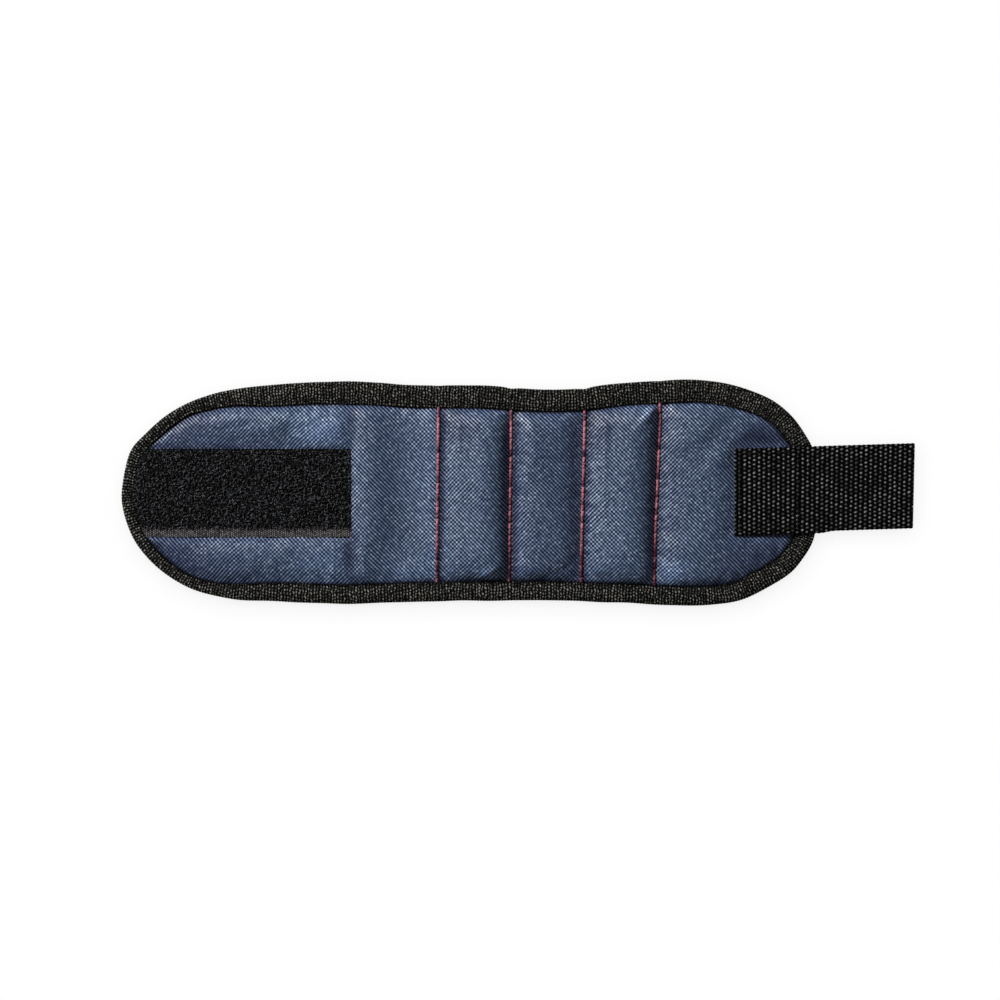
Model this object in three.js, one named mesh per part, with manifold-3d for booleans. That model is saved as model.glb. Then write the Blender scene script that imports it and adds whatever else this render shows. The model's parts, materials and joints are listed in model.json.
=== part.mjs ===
// Magnetic wristband: a quilted cloth band that holds screws and nails while someone works.
//
// The band is a cover and a padded lining, sewn together at the edge and along four rows. The rows
// make three pockets, and each pocket holds a foam carrier with a row of disc magnets. A tape binds
// the edge. Loop tape is sewn on one end, and a webbing strap with hook tape under its tail on the other.
//
// The band bends, so every layer is divided at nine fold lines, one group of layers to a panel.
//
// Units are millimetres. +X runs along the band towards the strap, +Y across it and +Z up, away
// from the wrist. The origin is under the middle of the whole length, on the surface it lies on.

import * as THREE from 'three';
import { mergeVertices } from 'three/addons/utils/BufferGeometryUtils.js';
import Module from 'manifold-3d';

const wasm = await Module();
wasm.setup();

// Lengths along the band, from the loop end to the strap end
const loopFieldLength = 98.9;
const neckLength = 37.4;
const pocketPitch = 31.5;
const pocketCount = 3;
const flankLength = 33.5;
const strapSewnLength = 35.4;
const tailReach = 42.4;

// Widths across the band
const bandWidth = 97.6;
const tapeWidth = 38;
const selvageWidth = 2.6;

// Layers, from the wrist outwards
const clearance = 0.3;
const bindingThickness = 0.7;
const liningThickness = 2.8;
const liningSewnThickness = 0.8;
const coverThickness = 0.6;
const loopBaseThickness = 0.6;
const loopPileHeight = 1.2;
const webbingThickness = 1.5;
const hookBaseThickness = 0.7;
const hookHeight = 0.8;
const webbingEdgeRound = 0.4;
const hookEndInset = 0.8;
const restCutDepth = 0.5;
const fieldCrown = 2.4;
const pocketCrown = 2.2;

// Edge binding, the width of tape that shows on each face
const bindingAtTip = 5.4;
const bindingUpperSide = 9.8;
const bindingLowerSide = 8.4;
const bindingAtStrap = 8.6;
const bindingEdgeRound = 0.9;
const bindingStep = 6.5;

// Magnets and their carriers
const magnetDiameter = 10;
const magnetThickness = 1.5;
const magnetPitch = 11.8;
const magnetSideWall = 1.5;
const magnetEndWall = 1.4;
const magnetFit = 0.3;
const carrierFloor = 0.5;
const carrierRim = 0.1;
const carrierSideRoom = 0.6;
const carrierCorner = 2;
const discSides = 28;

// How far from the binding the layers roll down to the edge seam
const edgeRoll = 6;

// Where the cover swells highest: in the middle of a stretch for one, and nearer the tip for less
const neckLean = 0.5;
const pocketLean = 0.75;
const flankLean = 0.9;

// Folds: how far each panel turns towards the wrist and away from it, and the slot between panels
const wrapAngle = THREE.MathUtils.degToRad(52);
const backAngle = THREE.MathUtils.degToRad(25);
const foldSlot = 0.3;
const foldBesideTape = 1.6;
const tailHingeReach = 1.6;
const cutOverrun = 4;

// Heights of the layers, worked out from their thicknesses
const liningSewnUnder = bindingThickness + clearance;
const liningSewnTop = liningSewnUnder + liningSewnThickness;
const foldHeight = liningSewnTop + clearance / 2;
const coverSewnUnder = liningSewnTop + clearance;
const bindingUpperUnder = coverSewnUnder + coverThickness + clearance;
const bindingTop = bindingUpperUnder + bindingThickness;
const fieldUnder = Math.max(liningThickness + clearance, bindingTop - coverThickness);
const fieldTop = fieldUnder + coverThickness;
const tapeUnder = fieldTop + clearance;
const carrierUnder = liningThickness + clearance;
const carrierThickness = carrierFloor + magnetFit / 2 + magnetThickness + carrierRim;
const pocketUnder = carrierUnder + carrierThickness + clearance;
const webbingTop = tapeUnder + webbingThickness;
const tailHingeHeight = tapeUnder + webbingThickness / 2;
const carrierWidth = magnetDiameter + 2 * magnetSideWall;

// The layers roll down to a row from the side of the carrier
const rowRoll = (pocketPitch - carrierWidth) / 2 - carrierSideRoom;

// Places along the band
const pocketsLength = pocketCount * pocketPitch;
const firstRow = loopFieldLength + neckLength;
const lastRow = firstRow + pocketsLength;
const bandLength = lastRow + flankLength + strapSewnLength;
const strapInner = bandLength - strapSewnLength;
const wholeLength = bandLength + tailReach;
const tipX = -wholeLength / 2;
const loopPanels = 3;

const rowPlaces = [];
for (let k = 0; k <= pocketCount; k += 1) {
  rowPlaces.push(tipX + firstRow + k * pocketPitch);
}

// The fold lines, from the tip to the free tail
const folds = [];
for (let k = 1; k < loopPanels; k += 1) {
  folds.push(tipX + (loopFieldLength * k) / loopPanels);
}
folds.push(tipX + loopFieldLength + foldBesideTape);
folds.push(...rowPlaces);
folds.push(tipX + strapInner - foldBesideTape);
const tailHingeX = tipX + bandLength + tailHingeReach;

const panelNames = ['loop_tip', 'loop_middle', 'loop_inner', 'neck'];
for (let k = 1; k <= pocketCount; k += 1) {
  panelNames.push(`pocket_${k}`);
}
panelNames.push('flank', 'strap_end');

// The outline as seen from above: shares of the band's length from the tip, and of its half width
const upperEdgeShares = [
  [0, 0.08], [0.011, 0.36], [0.034, 0.505], [0.061, 0.665], [0.089, 0.79], [0.122, 0.86],
  [0.165, 0.93], [0.24, 0.972], [0.32, 0.984], [0.42, 0.958], [0.51, 0.95], [0.605, 0.918],
  [0.66, 0.925], [0.72, 0.97], [0.8, 0.998], [0.855, 0.988], [0.902, 0.917], [0.94, 0.81],
  [0.968, 0.668], [0.988, 0.49], [0.997, 0.37],
];
const lowerEdgeShares = [
  [0, 0.12], [0.014, 0.38], [0.034, 0.56], [0.061, 0.71], [0.089, 0.82], [0.122, 0.895],
  [0.165, 0.942], [0.22, 0.957], [0.31, 0.978], [0.42, 0.958], [0.51, 0.952], [0.605, 0.95],
  [0.7, 0.965], [0.79, 0.992], [0.85, 0.99], [0.895, 0.938], [0.935, 0.818], [0.965, 0.697],
  [0.982, 0.575], [0.994, 0.46], [0.999, 0.36],
];
const strapEndShares = [[1, 0.16], [1, -0.15]];
const halfWidth = bandWidth / 2;
const outlineSamples = 720;

function outlinePoint([along, across], side) {
  return new THREE.Vector3(tipX + bandLength * along, side * halfWidth * across, 0);
}

// A closed curve, anticlockwise seen from above: in along the upper edge, round the tip and out below
const outlineCurve = new THREE.CatmullRomCurve3(
  [
    ...upperEdgeShares.map((share) => outlinePoint(share, 1)).reverse(),
    ...lowerEdgeShares.map((share) => outlinePoint(share, -1)),
    ...strapEndShares.map((share) => outlinePoint(share, 1)).reverse(),
  ],
  true,
  'centripetal',
);
const outline = outlineCurve.getPoints(outlineSamples).slice(0, outlineSamples);

function mix(a, b, share) {
  return a + (b - a) * share;
}

function smooth(share) {
  const t = THREE.MathUtils.clamp(share, 0, 1);
  return t * t * (3 - 2 * t);
}

// Rises quickly from a seam and arrives level
function roll(share) {
  const t = THREE.MathUtils.clamp(share, 0, 1);
  return t * (2 - t);
}

// The outline's y at a place along the band, on the upper side (1) or the lower side (-1)
function edgeAt(x, side) {
  let best = 0;
  for (let i = 0; i < outline.length; i += 1) {
    const a = outline[i];
    const b = outline[(i + 1) % outline.length];
    const low = Math.min(a.x, b.x);
    const high = Math.max(a.x, b.x);
    if (x < low || x > high || a.x === b.x) continue;
    const y = mix(a.y, b.y, (x - a.x) / (b.x - a.x));
    if (side * y > side * best) best = y;
  }
  return best;
}

// The way out of the band, square to the outline, at a point near it
function outwardAt(point) {
  let nearest = 0;
  let least = Infinity;
  outline.forEach((sample, i) => {
    const distance = sample.distanceToSquared(point);
    if (distance < least) {
      least = distance;
      nearest = i;
    }
  });
  const before = outline[(nearest + outline.length - 2) % outline.length];
  const after = outline[(nearest + 2) % outline.length];
  return new THREE.Vector3(after.y - before.y, before.x - after.x, 0).normalize();
}

// How far the binding reaches in from the edge: narrow at the tip, wide along the sides
const tipBlendShares = [0.08, 0.24];
const strapBlendShares = [0.84, 0.95];

function bindingReach(point) {
  const share = (point.x - tipX) / bandLength;
  const side = point.y > 0 ? bindingUpperSide : bindingLowerSide;
  const fromTip = smooth((share - tipBlendShares[0]) / (tipBlendShares[1] - tipBlendShares[0]));
  const toStrap = smooth((share - strapBlendShares[0]) / (strapBlendShares[1] - strapBlendShares[0]));
  return mix(mix(bindingAtTip, side, fromTip), bindingAtStrap, toStrap);
}

// Stations round the edge. Each has a point on the outline and a point on the spine that it faces;
// at the two ends the stations fan out from the ends of the spine.
const endInsetShare = 0.27;
const spineStart = tipX + bandWidth * endInsetShare;
const spineEnd = tipX + bandLength - bandWidth * endInsetShare;
const fanSteps = 14;
const leastSquareShare = 0.5;

function makeStations(columns) {
  const stations = [];
  const first = columns[0];
  const last = columns[columns.length - 1];
  const edgePoint = (x, side) => new THREE.Vector3(x, edgeAt(x, side), 0);
  const add = (edge, spineX) => {
    stations.push({ edge, spine: new THREE.Vector3(spineX, 0, 0), outward: outwardAt(edge) });
  };
  const addFan = (spineX, fromSide) => {
    const start = outlineShareAt(edgePoint(spineX, fromSide));
    let end = outlineShareAt(edgePoint(spineX, -fromSide));
    if (end < start) end += 1;
    for (let k = 1; k < fanSteps; k += 1) {
      add(outlineCurve.getPointAt(mix(start, end, k / fanSteps) % 1), spineX);
    }
  };
  for (const x of [...columns].reverse()) {
    add(edgePoint(x, 1), x);
  }
  addFan(first, 1);
  for (const x of columns) {
    add(edgePoint(x, -1), x);
  }
  addFan(last, -1);
  return stations;
}

// The share of the outline's length at which it passes nearest to a point
const evenOutline = outlineCurve.getSpacedPoints(outlineSamples);

function outlineShareAt(point) {
  let nearest = 0;
  evenOutline.forEach((sample, i) => {
    if (sample.distanceToSquared(point) < evenOutline[nearest].distanceToSquared(point)) nearest = i;
  });
  return nearest / outlineSamples;
}

// A point on a station's line to the spine, at a distance in from the edge
function inFromEdge(station, distance) {
  const line = station.spine.clone().sub(station.edge).normalize();
  const squareness = Math.max(-line.dot(station.outward), leastSquareShare);
  return station.edge.clone().addScaledVector(line, distance / squareness);
}

// Collects triangles on shared points, leaving out any that has shrunk to a line
class Shell {
  constructor() {
    this.points = [];
    this.faces = [];
    this.known = new Map();
  }

  point(x, y, z) {
    const key = [x, y, z].map((value) => (value / wholeLength).toFixed(9)).join();
    if (!this.known.has(key)) {
      this.known.set(key, this.points.length / 3);
      this.points.push(x, y, z);
    }
    return this.known.get(key);
  }

  triangle(a, b, c) {
    if (a !== b && b !== c && c !== a) this.faces.push(a, b, c);
  }

  quad(a, b, c, d) {
    this.triangle(a, b, c);
    this.triangle(a, c, d);
  }

  geometry() {
    const geometry = new THREE.BufferGeometry();
    geometry.setAttribute('position', new THREE.Float32BufferAttribute(this.points, 3));
    geometry.setIndex(this.faces);
    return geometry;
  }
}

function toSolid(geometry) {
  const plain = geometry.clone();
  plain.deleteAttribute('normal');
  plain.deleteAttribute('uv');
  const merged = mergeVertices(plain);
  return new wasm.Manifold(new wasm.Mesh({
    numProp: 3,
    vertProperties: new Float32Array(merged.attributes.position.array),
    triVerts: new Uint32Array(merged.index.array),
  }));
}

function toGeometry(solid) {
  const mesh = solid.getMesh();
  const geometry = new THREE.BufferGeometry();
  geometry.setAttribute('position', new THREE.BufferAttribute(mesh.vertProperties, 3));
  geometry.setIndex(new THREE.BufferAttribute(mesh.triVerts, 1));
  const faceted = geometry.toNonIndexed();
  faceted.computeVertexNormals();
  return faceted;
}

// A closed sheet between two height functions. Rings run in from the edge by the given shares of the
// roll, and then by shares of what is left to the spine.
function quiltedSheet({ columns, rollShares, innerShares, topAt, underAt }) {
  const stations = makeStations(columns);
  const edgeInset = bindingThickness + clearance;
  const rings = stations.map((station) => {
    const reach = bindingReach(station.edge) + clearance;
    const ring = [{ at: inFromEdge(station, edgeInset), rise: 0 }];
    for (const share of rollShares) {
      ring.push({ at: inFromEdge(station, reach + edgeRoll * share), rise: share });
    }
    const inner = ring[ring.length - 1].at;
    for (const share of innerShares) {
      ring.push({ at: inner.clone().lerp(station.spine, share), rise: 1 + share });
    }
    return ring;
  });
  const shell = new Shell();
  const place = (heightAt) => rings.map((ring) => ring.map(({ at, rise }) => (
    shell.point(at.x, at.y, heightAt(at.x, rise))
  )));
  const top = place(topAt);
  const under = place(underAt);
  for (let i = 0; i < rings.length; i += 1) {
    const next = (i + 1) % rings.length;
    shell.quad(under[i][0], under[next][0], top[next][0], top[i][0]);
    for (let j = 0; j < rings[i].length - 1; j += 1) {
      shell.quad(top[i][j], top[next][j], top[next][j + 1], top[i][j + 1]);
      shell.quad(under[i][j + 1], under[next][j + 1], under[next][j], under[i][j]);
    }
  }
  return toSolid(shell.geometry());
}

// Distance to the nearest row at or beside a place, as a share of the roll at a seam
function awayFromRows(x) {
  const nearest = Math.min(...rowPlaces.map((row) => Math.abs(x - row)));
  return roll(nearest / rowRoll);
}

// Zero at both ends of a stretch and one between them
function bulge(x, start, end, lean) {
  const share = THREE.MathUtils.clamp((x - start) / (end - start), 0, 1) ** lean;
  return 4 * share * (1 - share);
}

// The cover's underside: down at the seams, level over the padding and higher over the carriers
function coverUnderAt(x, rise) {
  const edge = roll(rise);
  const inward = THREE.MathUtils.clamp(rise - 1, 0, 1);
  const pocket = Math.floor((x - rowPlaces[0]) / pocketPitch);
  const isPocket = pocket >= 0 && pocket < pocketCount;
  const level = isPocket ? pocketUnder : fieldUnder;
  const lift = (level - coverSewnUnder) * edge * awayFromRows(x);
  if (isPocket) {
    const start = rowPlaces[pocket];
    const swell = bulge(x, start, start + pocketPitch, pocketLean) * roll(inward);
    return coverSewnUnder + lift + pocketCrown * swell;
  }
  const neck = bulge(x, folds[loopPanels - 1], rowPlaces[0], neckLean);
  const flank = bulge(x, rowPlaces[pocketCount], folds[folds.length - 1], flankLean);
  return coverSewnUnder + lift + fieldCrown * (neck + flank) * edge;
}

function coverTopAt(x, rise) {
  return coverUnderAt(x, rise) + coverThickness;
}

function liningTopAt(x, rise) {
  const lift = roll(rise) * awayFromRows(x);
  return liningSewnTop + (liningThickness - liningSewnTop) * lift;
}

// The lining swells towards the wrist and is cut flat where the band lies
function liningUnderAt(x, rise) {
  const swell = (liningSewnUnder + restCutDepth) * roll(rise) * awayFromRows(x);
  return Math.max(0, liningSewnUnder - swell);
}

// Places along the band at which a sheet has a line of points: close together where it rolls down to
// a row, then across each pocket, and evenly over the plain fields
function columnsOf(rowShares, pocketShares, fieldSteps) {
  const columns = new Set();
  for (const row of rowPlaces) {
    for (const share of rowShares) {
      columns.add(row - rowRoll * share);
      columns.add(row + rowRoll * share);
    }
  }
  const halfTop = pocketPitch / 2 - rowRoll;
  for (const row of rowPlaces.slice(0, pocketCount)) {
    for (const share of pocketShares) {
      columns.add(row + pocketPitch / 2 - halfTop * share);
      columns.add(row + pocketPitch / 2 + halfTop * share);
    }
  }
  const beforeRows = rowPlaces[0] - rowRoll;
  const afterRows = rowPlaces[pocketCount] + rowRoll;
  for (let k = 0; k < fieldSteps; k += 1) {
    columns.add(mix(spineStart, beforeRows, k / fieldSteps));
  }
  const afterSteps = Math.ceil((fieldSteps * (spineEnd - afterRows)) / (beforeRows - spineStart));
  for (let k = 1; k <= afterSteps; k += 1) {
    columns.add(mix(afterRows, spineEnd, k / afterSteps));
  }
  return [...columns].sort((left, right) => left - right);
}

// The edge binding: a folded tape with a rounded edge, carried round the outline
const bellyShare = 0.3;
const bellyHeightShare = 0.16;

function bindingRing() {
  const columns = [];
  const count = Math.round((spineEnd - spineStart) / bindingStep);
  for (let k = 0; k <= count; k += 1) {
    columns.push(mix(spineStart, spineEnd, k / count));
  }
  const stations = makeStations(columns);
  const shell = new Shell();
  const sections = stations.map((station) => {
    const reach = bindingReach(station.edge);
    const belly = bindingEdgeRound * bellyShare;
    const section = [
      [reach, 0], [bindingEdgeRound, 0], [belly, bindingTop * bellyHeightShare], [0, bindingTop / 2],
      [belly, bindingTop * (1 - bellyHeightShare)], [bindingEdgeRound, bindingTop], [reach, bindingTop],
      [reach, bindingUpperUnder], [bindingThickness, bindingUpperUnder],
      [bindingThickness, bindingThickness], [reach, bindingThickness],
    ];
    return section.map(([distance, z]) => {
      const at = inFromEdge(station, distance);
      return shell.point(at.x, at.y, z);
    });
  });
  sections.forEach((section, i) => {
    const next = sections[(i + 1) % sections.length];
    section.forEach((point, j) => {
      const k = (j + 1) % section.length;
      shell.quad(point, next[j], next[k], section[k]);
    });
  });
  return toSolid(shell.geometry());
}

// A bar along Y with the given side view, from one y to another
function barAlongY(sideView, fromY, toY) {
  const shape = new THREE.Shape(sideView.map(([x, z]) => new THREE.Vector2(x, z)));
  const bar = new THREE.ExtrudeGeometry(shape, { depth: toY - fromY, bevelEnabled: false });
  bar.rotateX(Math.PI / 2);
  bar.translate(0, toY, 0);
  return bar;
}

// A bar along X with the given end view, from one x to another
function barAlongX(endView, fromX, toX) {
  const shape = new THREE.Shape(endView.map(([y, z]) => new THREE.Vector2(y, z)));
  const bar = new THREE.ExtrudeGeometry(shape, { depth: toX - fromX, bevelEnabled: false });
  bar.rotateX(Math.PI / 2);
  bar.rotateZ(Math.PI / 2);
  bar.translate(fromX, 0, 0);
  return bar;
}

// The space that one panel may fill. Its sides slope away from each fold, so that two panels meet
// face to face at the ends of their turn and never sooner.
const mouldTop = Math.max(webbingTop, pocketUnder + coverThickness + pocketCrown) + cutOverrun;
const mouldUnder = -cutOverrun;
const beyond = halfWidth + cutOverrun;

function slotSide(foldX, foldZ, side) {
  const above = (mouldTop - foldZ) * Math.tan(backAngle / 2);
  const below = (foldZ - mouldUnder) * Math.tan(wrapAngle / 2);
  const half = foldSlot / 2;
  return [
    [foldX + side * (half + below), mouldUnder],
    [foldX + side * half, foldZ],
    [foldX + side * (half + above), mouldTop],
  ];
}

function openSide(x) {
  return [[x, mouldUnder], [x, mouldTop]];
}

function mouldBetween(leftSide, rightSide, fromY = -beyond, toY = beyond) {
  return toSolid(barAlongY([...rightSide, ...leftSide.reverse()], fromY, toY));
}

function panelMould(panel, fromY, toY) {
  const left = panel === 0 ? openSide(tipX - cutOverrun) : slotSide(folds[panel - 1], foldHeight, 1);
  const right = panel === folds.length ? openSide(tailHingeX) : slotSide(folds[panel], foldHeight, -1);
  return mouldBetween(left, right, fromY, toY);
}

// Materials
const coverCloth = new THREE.MeshStandardMaterial({ color: 0x4a5770, roughness: 0.78, metalness: 0 });
const liningCloth = new THREE.MeshStandardMaterial({ color: 0x17181b, roughness: 0.95, metalness: 0 });
const bindingTape = new THREE.MeshStandardMaterial({ color: 0x2b2a28, roughness: 0.85, metalness: 0 });
const loopTape = new THREE.MeshStandardMaterial({ color: 0x1a1b1d, roughness: 1, metalness: 0 });
const webbing = new THREE.MeshStandardMaterial({ color: 0x1e1e1e, roughness: 0.8, metalness: 0 });
const hookTape = new THREE.MeshStandardMaterial({ color: 0x141414, roughness: 0.6, metalness: 0 });
const carrierFoam = new THREE.MeshStandardMaterial({ color: 0xd9d7d0, roughness: 0.9, metalness: 0 });
const magnetPlate = new THREE.MeshStandardMaterial({ color: 0xb9bcc0, roughness: 0.28, metalness: 1 });

const wristband = new THREE.Group();

function addPiece(name, geometry, material) {
  const mesh = new THREE.Mesh(geometry, material);
  mesh.name = name;
  wristband.add(mesh);
  return mesh;
}

// Cover and lining, one piece of each to a panel
const coverRowShares = [0, 0.17, 0.42, 0.7, 1];
const coverPocketShares = [0, 0.45];
const liningRowShares = [0, 0.32, 1];
const liningPocketShares = [0];
const coverFieldSteps = 14;
const liningFieldSteps = 9;
const cover = quiltedSheet({
  columns: columnsOf(coverRowShares, coverPocketShares, coverFieldSteps),
  rollShares: [0, 0.25, 0.6, 1],
  innerShares: [0.5, 1],
  topAt: coverTopAt,
  underAt: coverUnderAt,
});
const lining = quiltedSheet({
  columns: columnsOf(liningRowShares, liningPocketShares, liningFieldSteps),
  rollShares: [0, 0.45, 1],
  innerShares: [1],
  topAt: liningTopAt,
  underAt: liningUnderAt,
});
panelNames.forEach((name, panel) => {
  const space = panelMould(panel);
  addPiece(`cover_${name}`, toGeometry(cover.intersect(space)), coverCloth);
  addPiece(`lining_${name}`, toGeometry(lining.intersect(space)), liningCloth);
});

// Edge binding: one piece round each end of the band, and an upper and a lower piece between them
const binding = bindingRing();
panelNames.forEach((name, panel) => {
  if (panel === 0 || panel === folds.length) {
    addPiece(`binding_${name}`, toGeometry(binding.intersect(panelMould(panel))), bindingTape);
    return;
  }
  const upper = binding.intersect(panelMould(panel, 0, beyond));
  const lower = binding.intersect(panelMould(panel, -beyond, 0));
  addPiece(`binding_upper_${name}`, toGeometry(upper), bindingTape);
  addPiece(`binding_lower_${name}`, toGeometry(lower), bindingTape);
});

// End view of hook or loop tape: a woven base with a bare selvage down each side, and the pile or
// the hooks on the field between them, up (1) or down (-1) from the back
function fastenerEndView(back, baseThickness, faceHeight, up) {
  const side = tapeWidth / 2;
  const field = side - selvageWidth;
  const base = back + up * baseThickness;
  const face = base + up * faceHeight;
  return [
    [-side, back], [side, back], [side, base], [field, base],
    [field, face], [-field, face], [-field, base], [-side, base],
  ];
}

// Loop tape. Its outer end is cut to the curve of the binding.
const insideBinding = new THREE.Shape(
  makeStations([spineStart, spineEnd]).map((station) => {
    const at = inFromEdge(station, bindingReach(station.edge) + clearance);
    return new THREE.Vector2(at.x, at.y);
  }),
);
const insideBindingBlock = new THREE.ExtrudeGeometry(insideBinding, { depth: mouldTop, bevelEnabled: false });
const loopLength = toSolid(barAlongX(
  fastenerEndView(tapeUnder, loopBaseThickness, loopPileHeight, 1),
  tipX,
  tipX + loopFieldLength,
)).intersect(toSolid(insideBindingBlock));
for (let panel = 0; panel < loopPanels; panel += 1) {
  const piece = loopLength.intersect(panelMould(panel));
  addPiece(panelNames[panel].replace('loop', 'loop_tape'), toGeometry(piece), loopTape);
}

// Webbing strap, with its edges rounded by the weave: a sewn length and a free tail
function webbingEndView() {
  const side = tapeWidth / 2;
  const inner = side - webbingEdgeRound;
  const low = tapeUnder + webbingEdgeRound;
  const high = webbingTop - webbingEdgeRound;
  return [
    [-inner, tapeUnder], [inner, tapeUnder], [side, low], [side, high],
    [inner, webbingTop], [-inner, webbingTop], [-side, high], [-side, low],
  ];
}

const strapEnd = tipX + wholeLength;
const strap = toSolid(barAlongX(webbingEndView(), tipX + strapInner, strapEnd));
const sewnMould = mouldBetween(
  slotSide(folds[folds.length - 1], foldHeight, 1),
  slotSide(tailHingeX, tailHingeHeight, -1),
);
const tailMould = mouldBetween(slotSide(tailHingeX, tailHingeHeight, 1), openSide(strapEnd + cutOverrun));
addPiece('strap_sewn', toGeometry(strap.intersect(sewnMould)), webbing);
addPiece('strap_tail', toGeometry(strap.intersect(tailMould)), webbing);

// Hook tape, hooks down, under the free tail
const hooks = toSolid(barAlongX(
  fastenerEndView(tapeUnder - clearance, hookBaseThickness, hookHeight, -1),
  tailHingeX,
  strapEnd - hookEndInset,
)).intersect(tailMould);
addPiece('hook_tape', toGeometry(hooks), hookTape);

// A round bar or hole, standing on the given height
function disc(radius, thickness, x, y, z) {
  const geometry = new THREE.CylinderGeometry(radius, radius, thickness, discSides);
  geometry.rotateX(Math.PI / 2);
  geometry.translate(x, y, z + thickness / 2);
  return geometry;
}

// Magnet carriers: a foam strip in each pocket, with a punched seat for each magnet
function carrierPlate(centreX, centreY, length) {
  const halfX = carrierWidth / 2 - carrierCorner;
  const halfY = length / 2 - carrierCorner;
  const shape = new THREE.Shape();
  shape.absarc(centreX + halfX, centreY + halfY, carrierCorner, 0, Math.PI / 2);
  shape.absarc(centreX - halfX, centreY + halfY, carrierCorner, Math.PI / 2, Math.PI);
  shape.absarc(centreX - halfX, centreY - halfY, carrierCorner, Math.PI, Math.PI * 1.5);
  shape.absarc(centreX + halfX, centreY - halfY, carrierCorner, Math.PI * 1.5, Math.PI * 2);
  const plate = new THREE.ExtrudeGeometry(shape, {
    depth: carrierThickness,
    bevelEnabled: false,
    curveSegments: 4,
  });
  plate.translate(0, 0, carrierUnder);
  return toSolid(plate);
}

for (let pocket = 0; pocket < pocketCount; pocket += 1) {
  const x = rowPlaces[pocket] + pocketPitch / 2;
  const upperEnd = edgeAt(x, 1) - bindingUpperSide - clearance;
  const lowerEnd = edgeAt(x, -1) + bindingLowerSide + clearance;
  const y = (upperEnd + lowerEnd) / 2;
  const magnetRoom = upperEnd - lowerEnd - 2 * (edgeRoll + magnetEndWall) - magnetDiameter;
  const magnetCount = Math.max(1, Math.floor(magnetRoom / magnetPitch) + 1);
  const span = (magnetCount - 1) * magnetPitch;
  let carrier = carrierPlate(x, y, span + magnetDiameter + 2 * magnetEndWall);
  for (let k = 0; k < magnetCount; k += 1) {
    const magnetY = y + span / 2 - k * magnetPitch;
    const seatFloor = carrierUnder + carrierFloor;
    const seat = disc(magnetDiameter / 2 + magnetFit, carrierThickness, x, magnetY, seatFloor);
    carrier = carrier.subtract(toSolid(seat));
    const magnet = disc(magnetDiameter / 2, magnetThickness, x, magnetY, seatFloor + magnetFit / 2);
    addPiece(`magnet_${pocket + 1}_${k + 1}`, magnet, magnetPlate);
  }
  addPiece(`magnet_carrier_${pocket + 1}`, toGeometry(carrier), carrierFoam);
}

export default wristband;
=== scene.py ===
import json
import math

import bpy
import numpy as np
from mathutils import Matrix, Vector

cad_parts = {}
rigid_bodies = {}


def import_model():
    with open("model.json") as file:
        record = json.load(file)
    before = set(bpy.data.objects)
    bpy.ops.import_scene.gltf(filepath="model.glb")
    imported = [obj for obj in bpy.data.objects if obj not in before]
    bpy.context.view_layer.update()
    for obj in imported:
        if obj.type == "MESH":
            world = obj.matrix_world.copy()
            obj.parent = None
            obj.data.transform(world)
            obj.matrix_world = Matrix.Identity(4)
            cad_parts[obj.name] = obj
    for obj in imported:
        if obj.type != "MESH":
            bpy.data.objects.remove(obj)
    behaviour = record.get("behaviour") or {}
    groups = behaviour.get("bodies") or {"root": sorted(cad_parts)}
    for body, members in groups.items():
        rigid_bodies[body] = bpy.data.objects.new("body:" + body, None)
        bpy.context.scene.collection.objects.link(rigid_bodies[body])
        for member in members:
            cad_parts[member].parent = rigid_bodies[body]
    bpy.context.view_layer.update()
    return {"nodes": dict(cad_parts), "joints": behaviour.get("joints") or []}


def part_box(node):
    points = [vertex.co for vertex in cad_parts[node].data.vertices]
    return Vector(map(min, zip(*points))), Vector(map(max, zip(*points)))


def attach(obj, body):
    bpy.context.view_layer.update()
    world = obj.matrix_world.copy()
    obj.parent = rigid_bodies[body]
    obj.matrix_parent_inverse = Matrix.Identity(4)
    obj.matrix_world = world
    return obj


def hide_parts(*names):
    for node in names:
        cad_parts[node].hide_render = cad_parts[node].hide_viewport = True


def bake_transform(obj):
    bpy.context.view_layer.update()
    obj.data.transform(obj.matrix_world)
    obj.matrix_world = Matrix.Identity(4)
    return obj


# Magnetic wristband: its cloth, tapes, threads and light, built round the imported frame.
# Sizes here are millimetres, in the frame of the model, until a mesh is made of them.

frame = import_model()

MM = 0.001


def node_box(name):
    """The lowest and highest corner of a node, in millimetres."""
    low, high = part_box(name)
    return np.array(low) / MM, np.array(high) / MM


# The band's plan
BAND_LENGTH = 299.7
BAND_HALF_WIDTH = 48.95
WHOLE_LENGTH = 342.1
TAPE_WIDTH = 38.0
HALF_TAPE = TAPE_WIDTH / 2
STRAP_START_X = node_box("strap_sewn")[0][0]
STRAP_END_X = node_box("strap_tail")[1][0]
TIP_X = STRAP_END_X - WHOLE_LENGTH
BAND_END_X = TIP_X + BAND_LENGTH
PATCH_END_X = node_box("loop_tape_inner")[1][0]

# The layers' heights
TAPE_UNDER = node_box("strap_sewn")[0][2]
BINDING_TOP = node_box("binding_loop_tip")[1][2]
CARRIER_BOXES = [node_box(f"magnet_carrier_{k}") for k in (1, 2, 3)]
CLOTH_THICKNESS = 0.6
LINING_THICKNESS = 2.8
LINING_SEWN_TOP = 1.8
LINING_SEWN_UNDER = 1.0
SEAM_TOP = 2.55
PATCH_TOP = 3.75
POCKET_RISE = 5.7

# How far the edge tape's face reaches in from the outline
BINDING_AT_TIP = 5.4
BINDING_UPPER = 9.8
BINDING_LOWER = 8.4
BINDING_AT_STRAP = 8.6
BINDING_THICKNESS = 0.6

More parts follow.
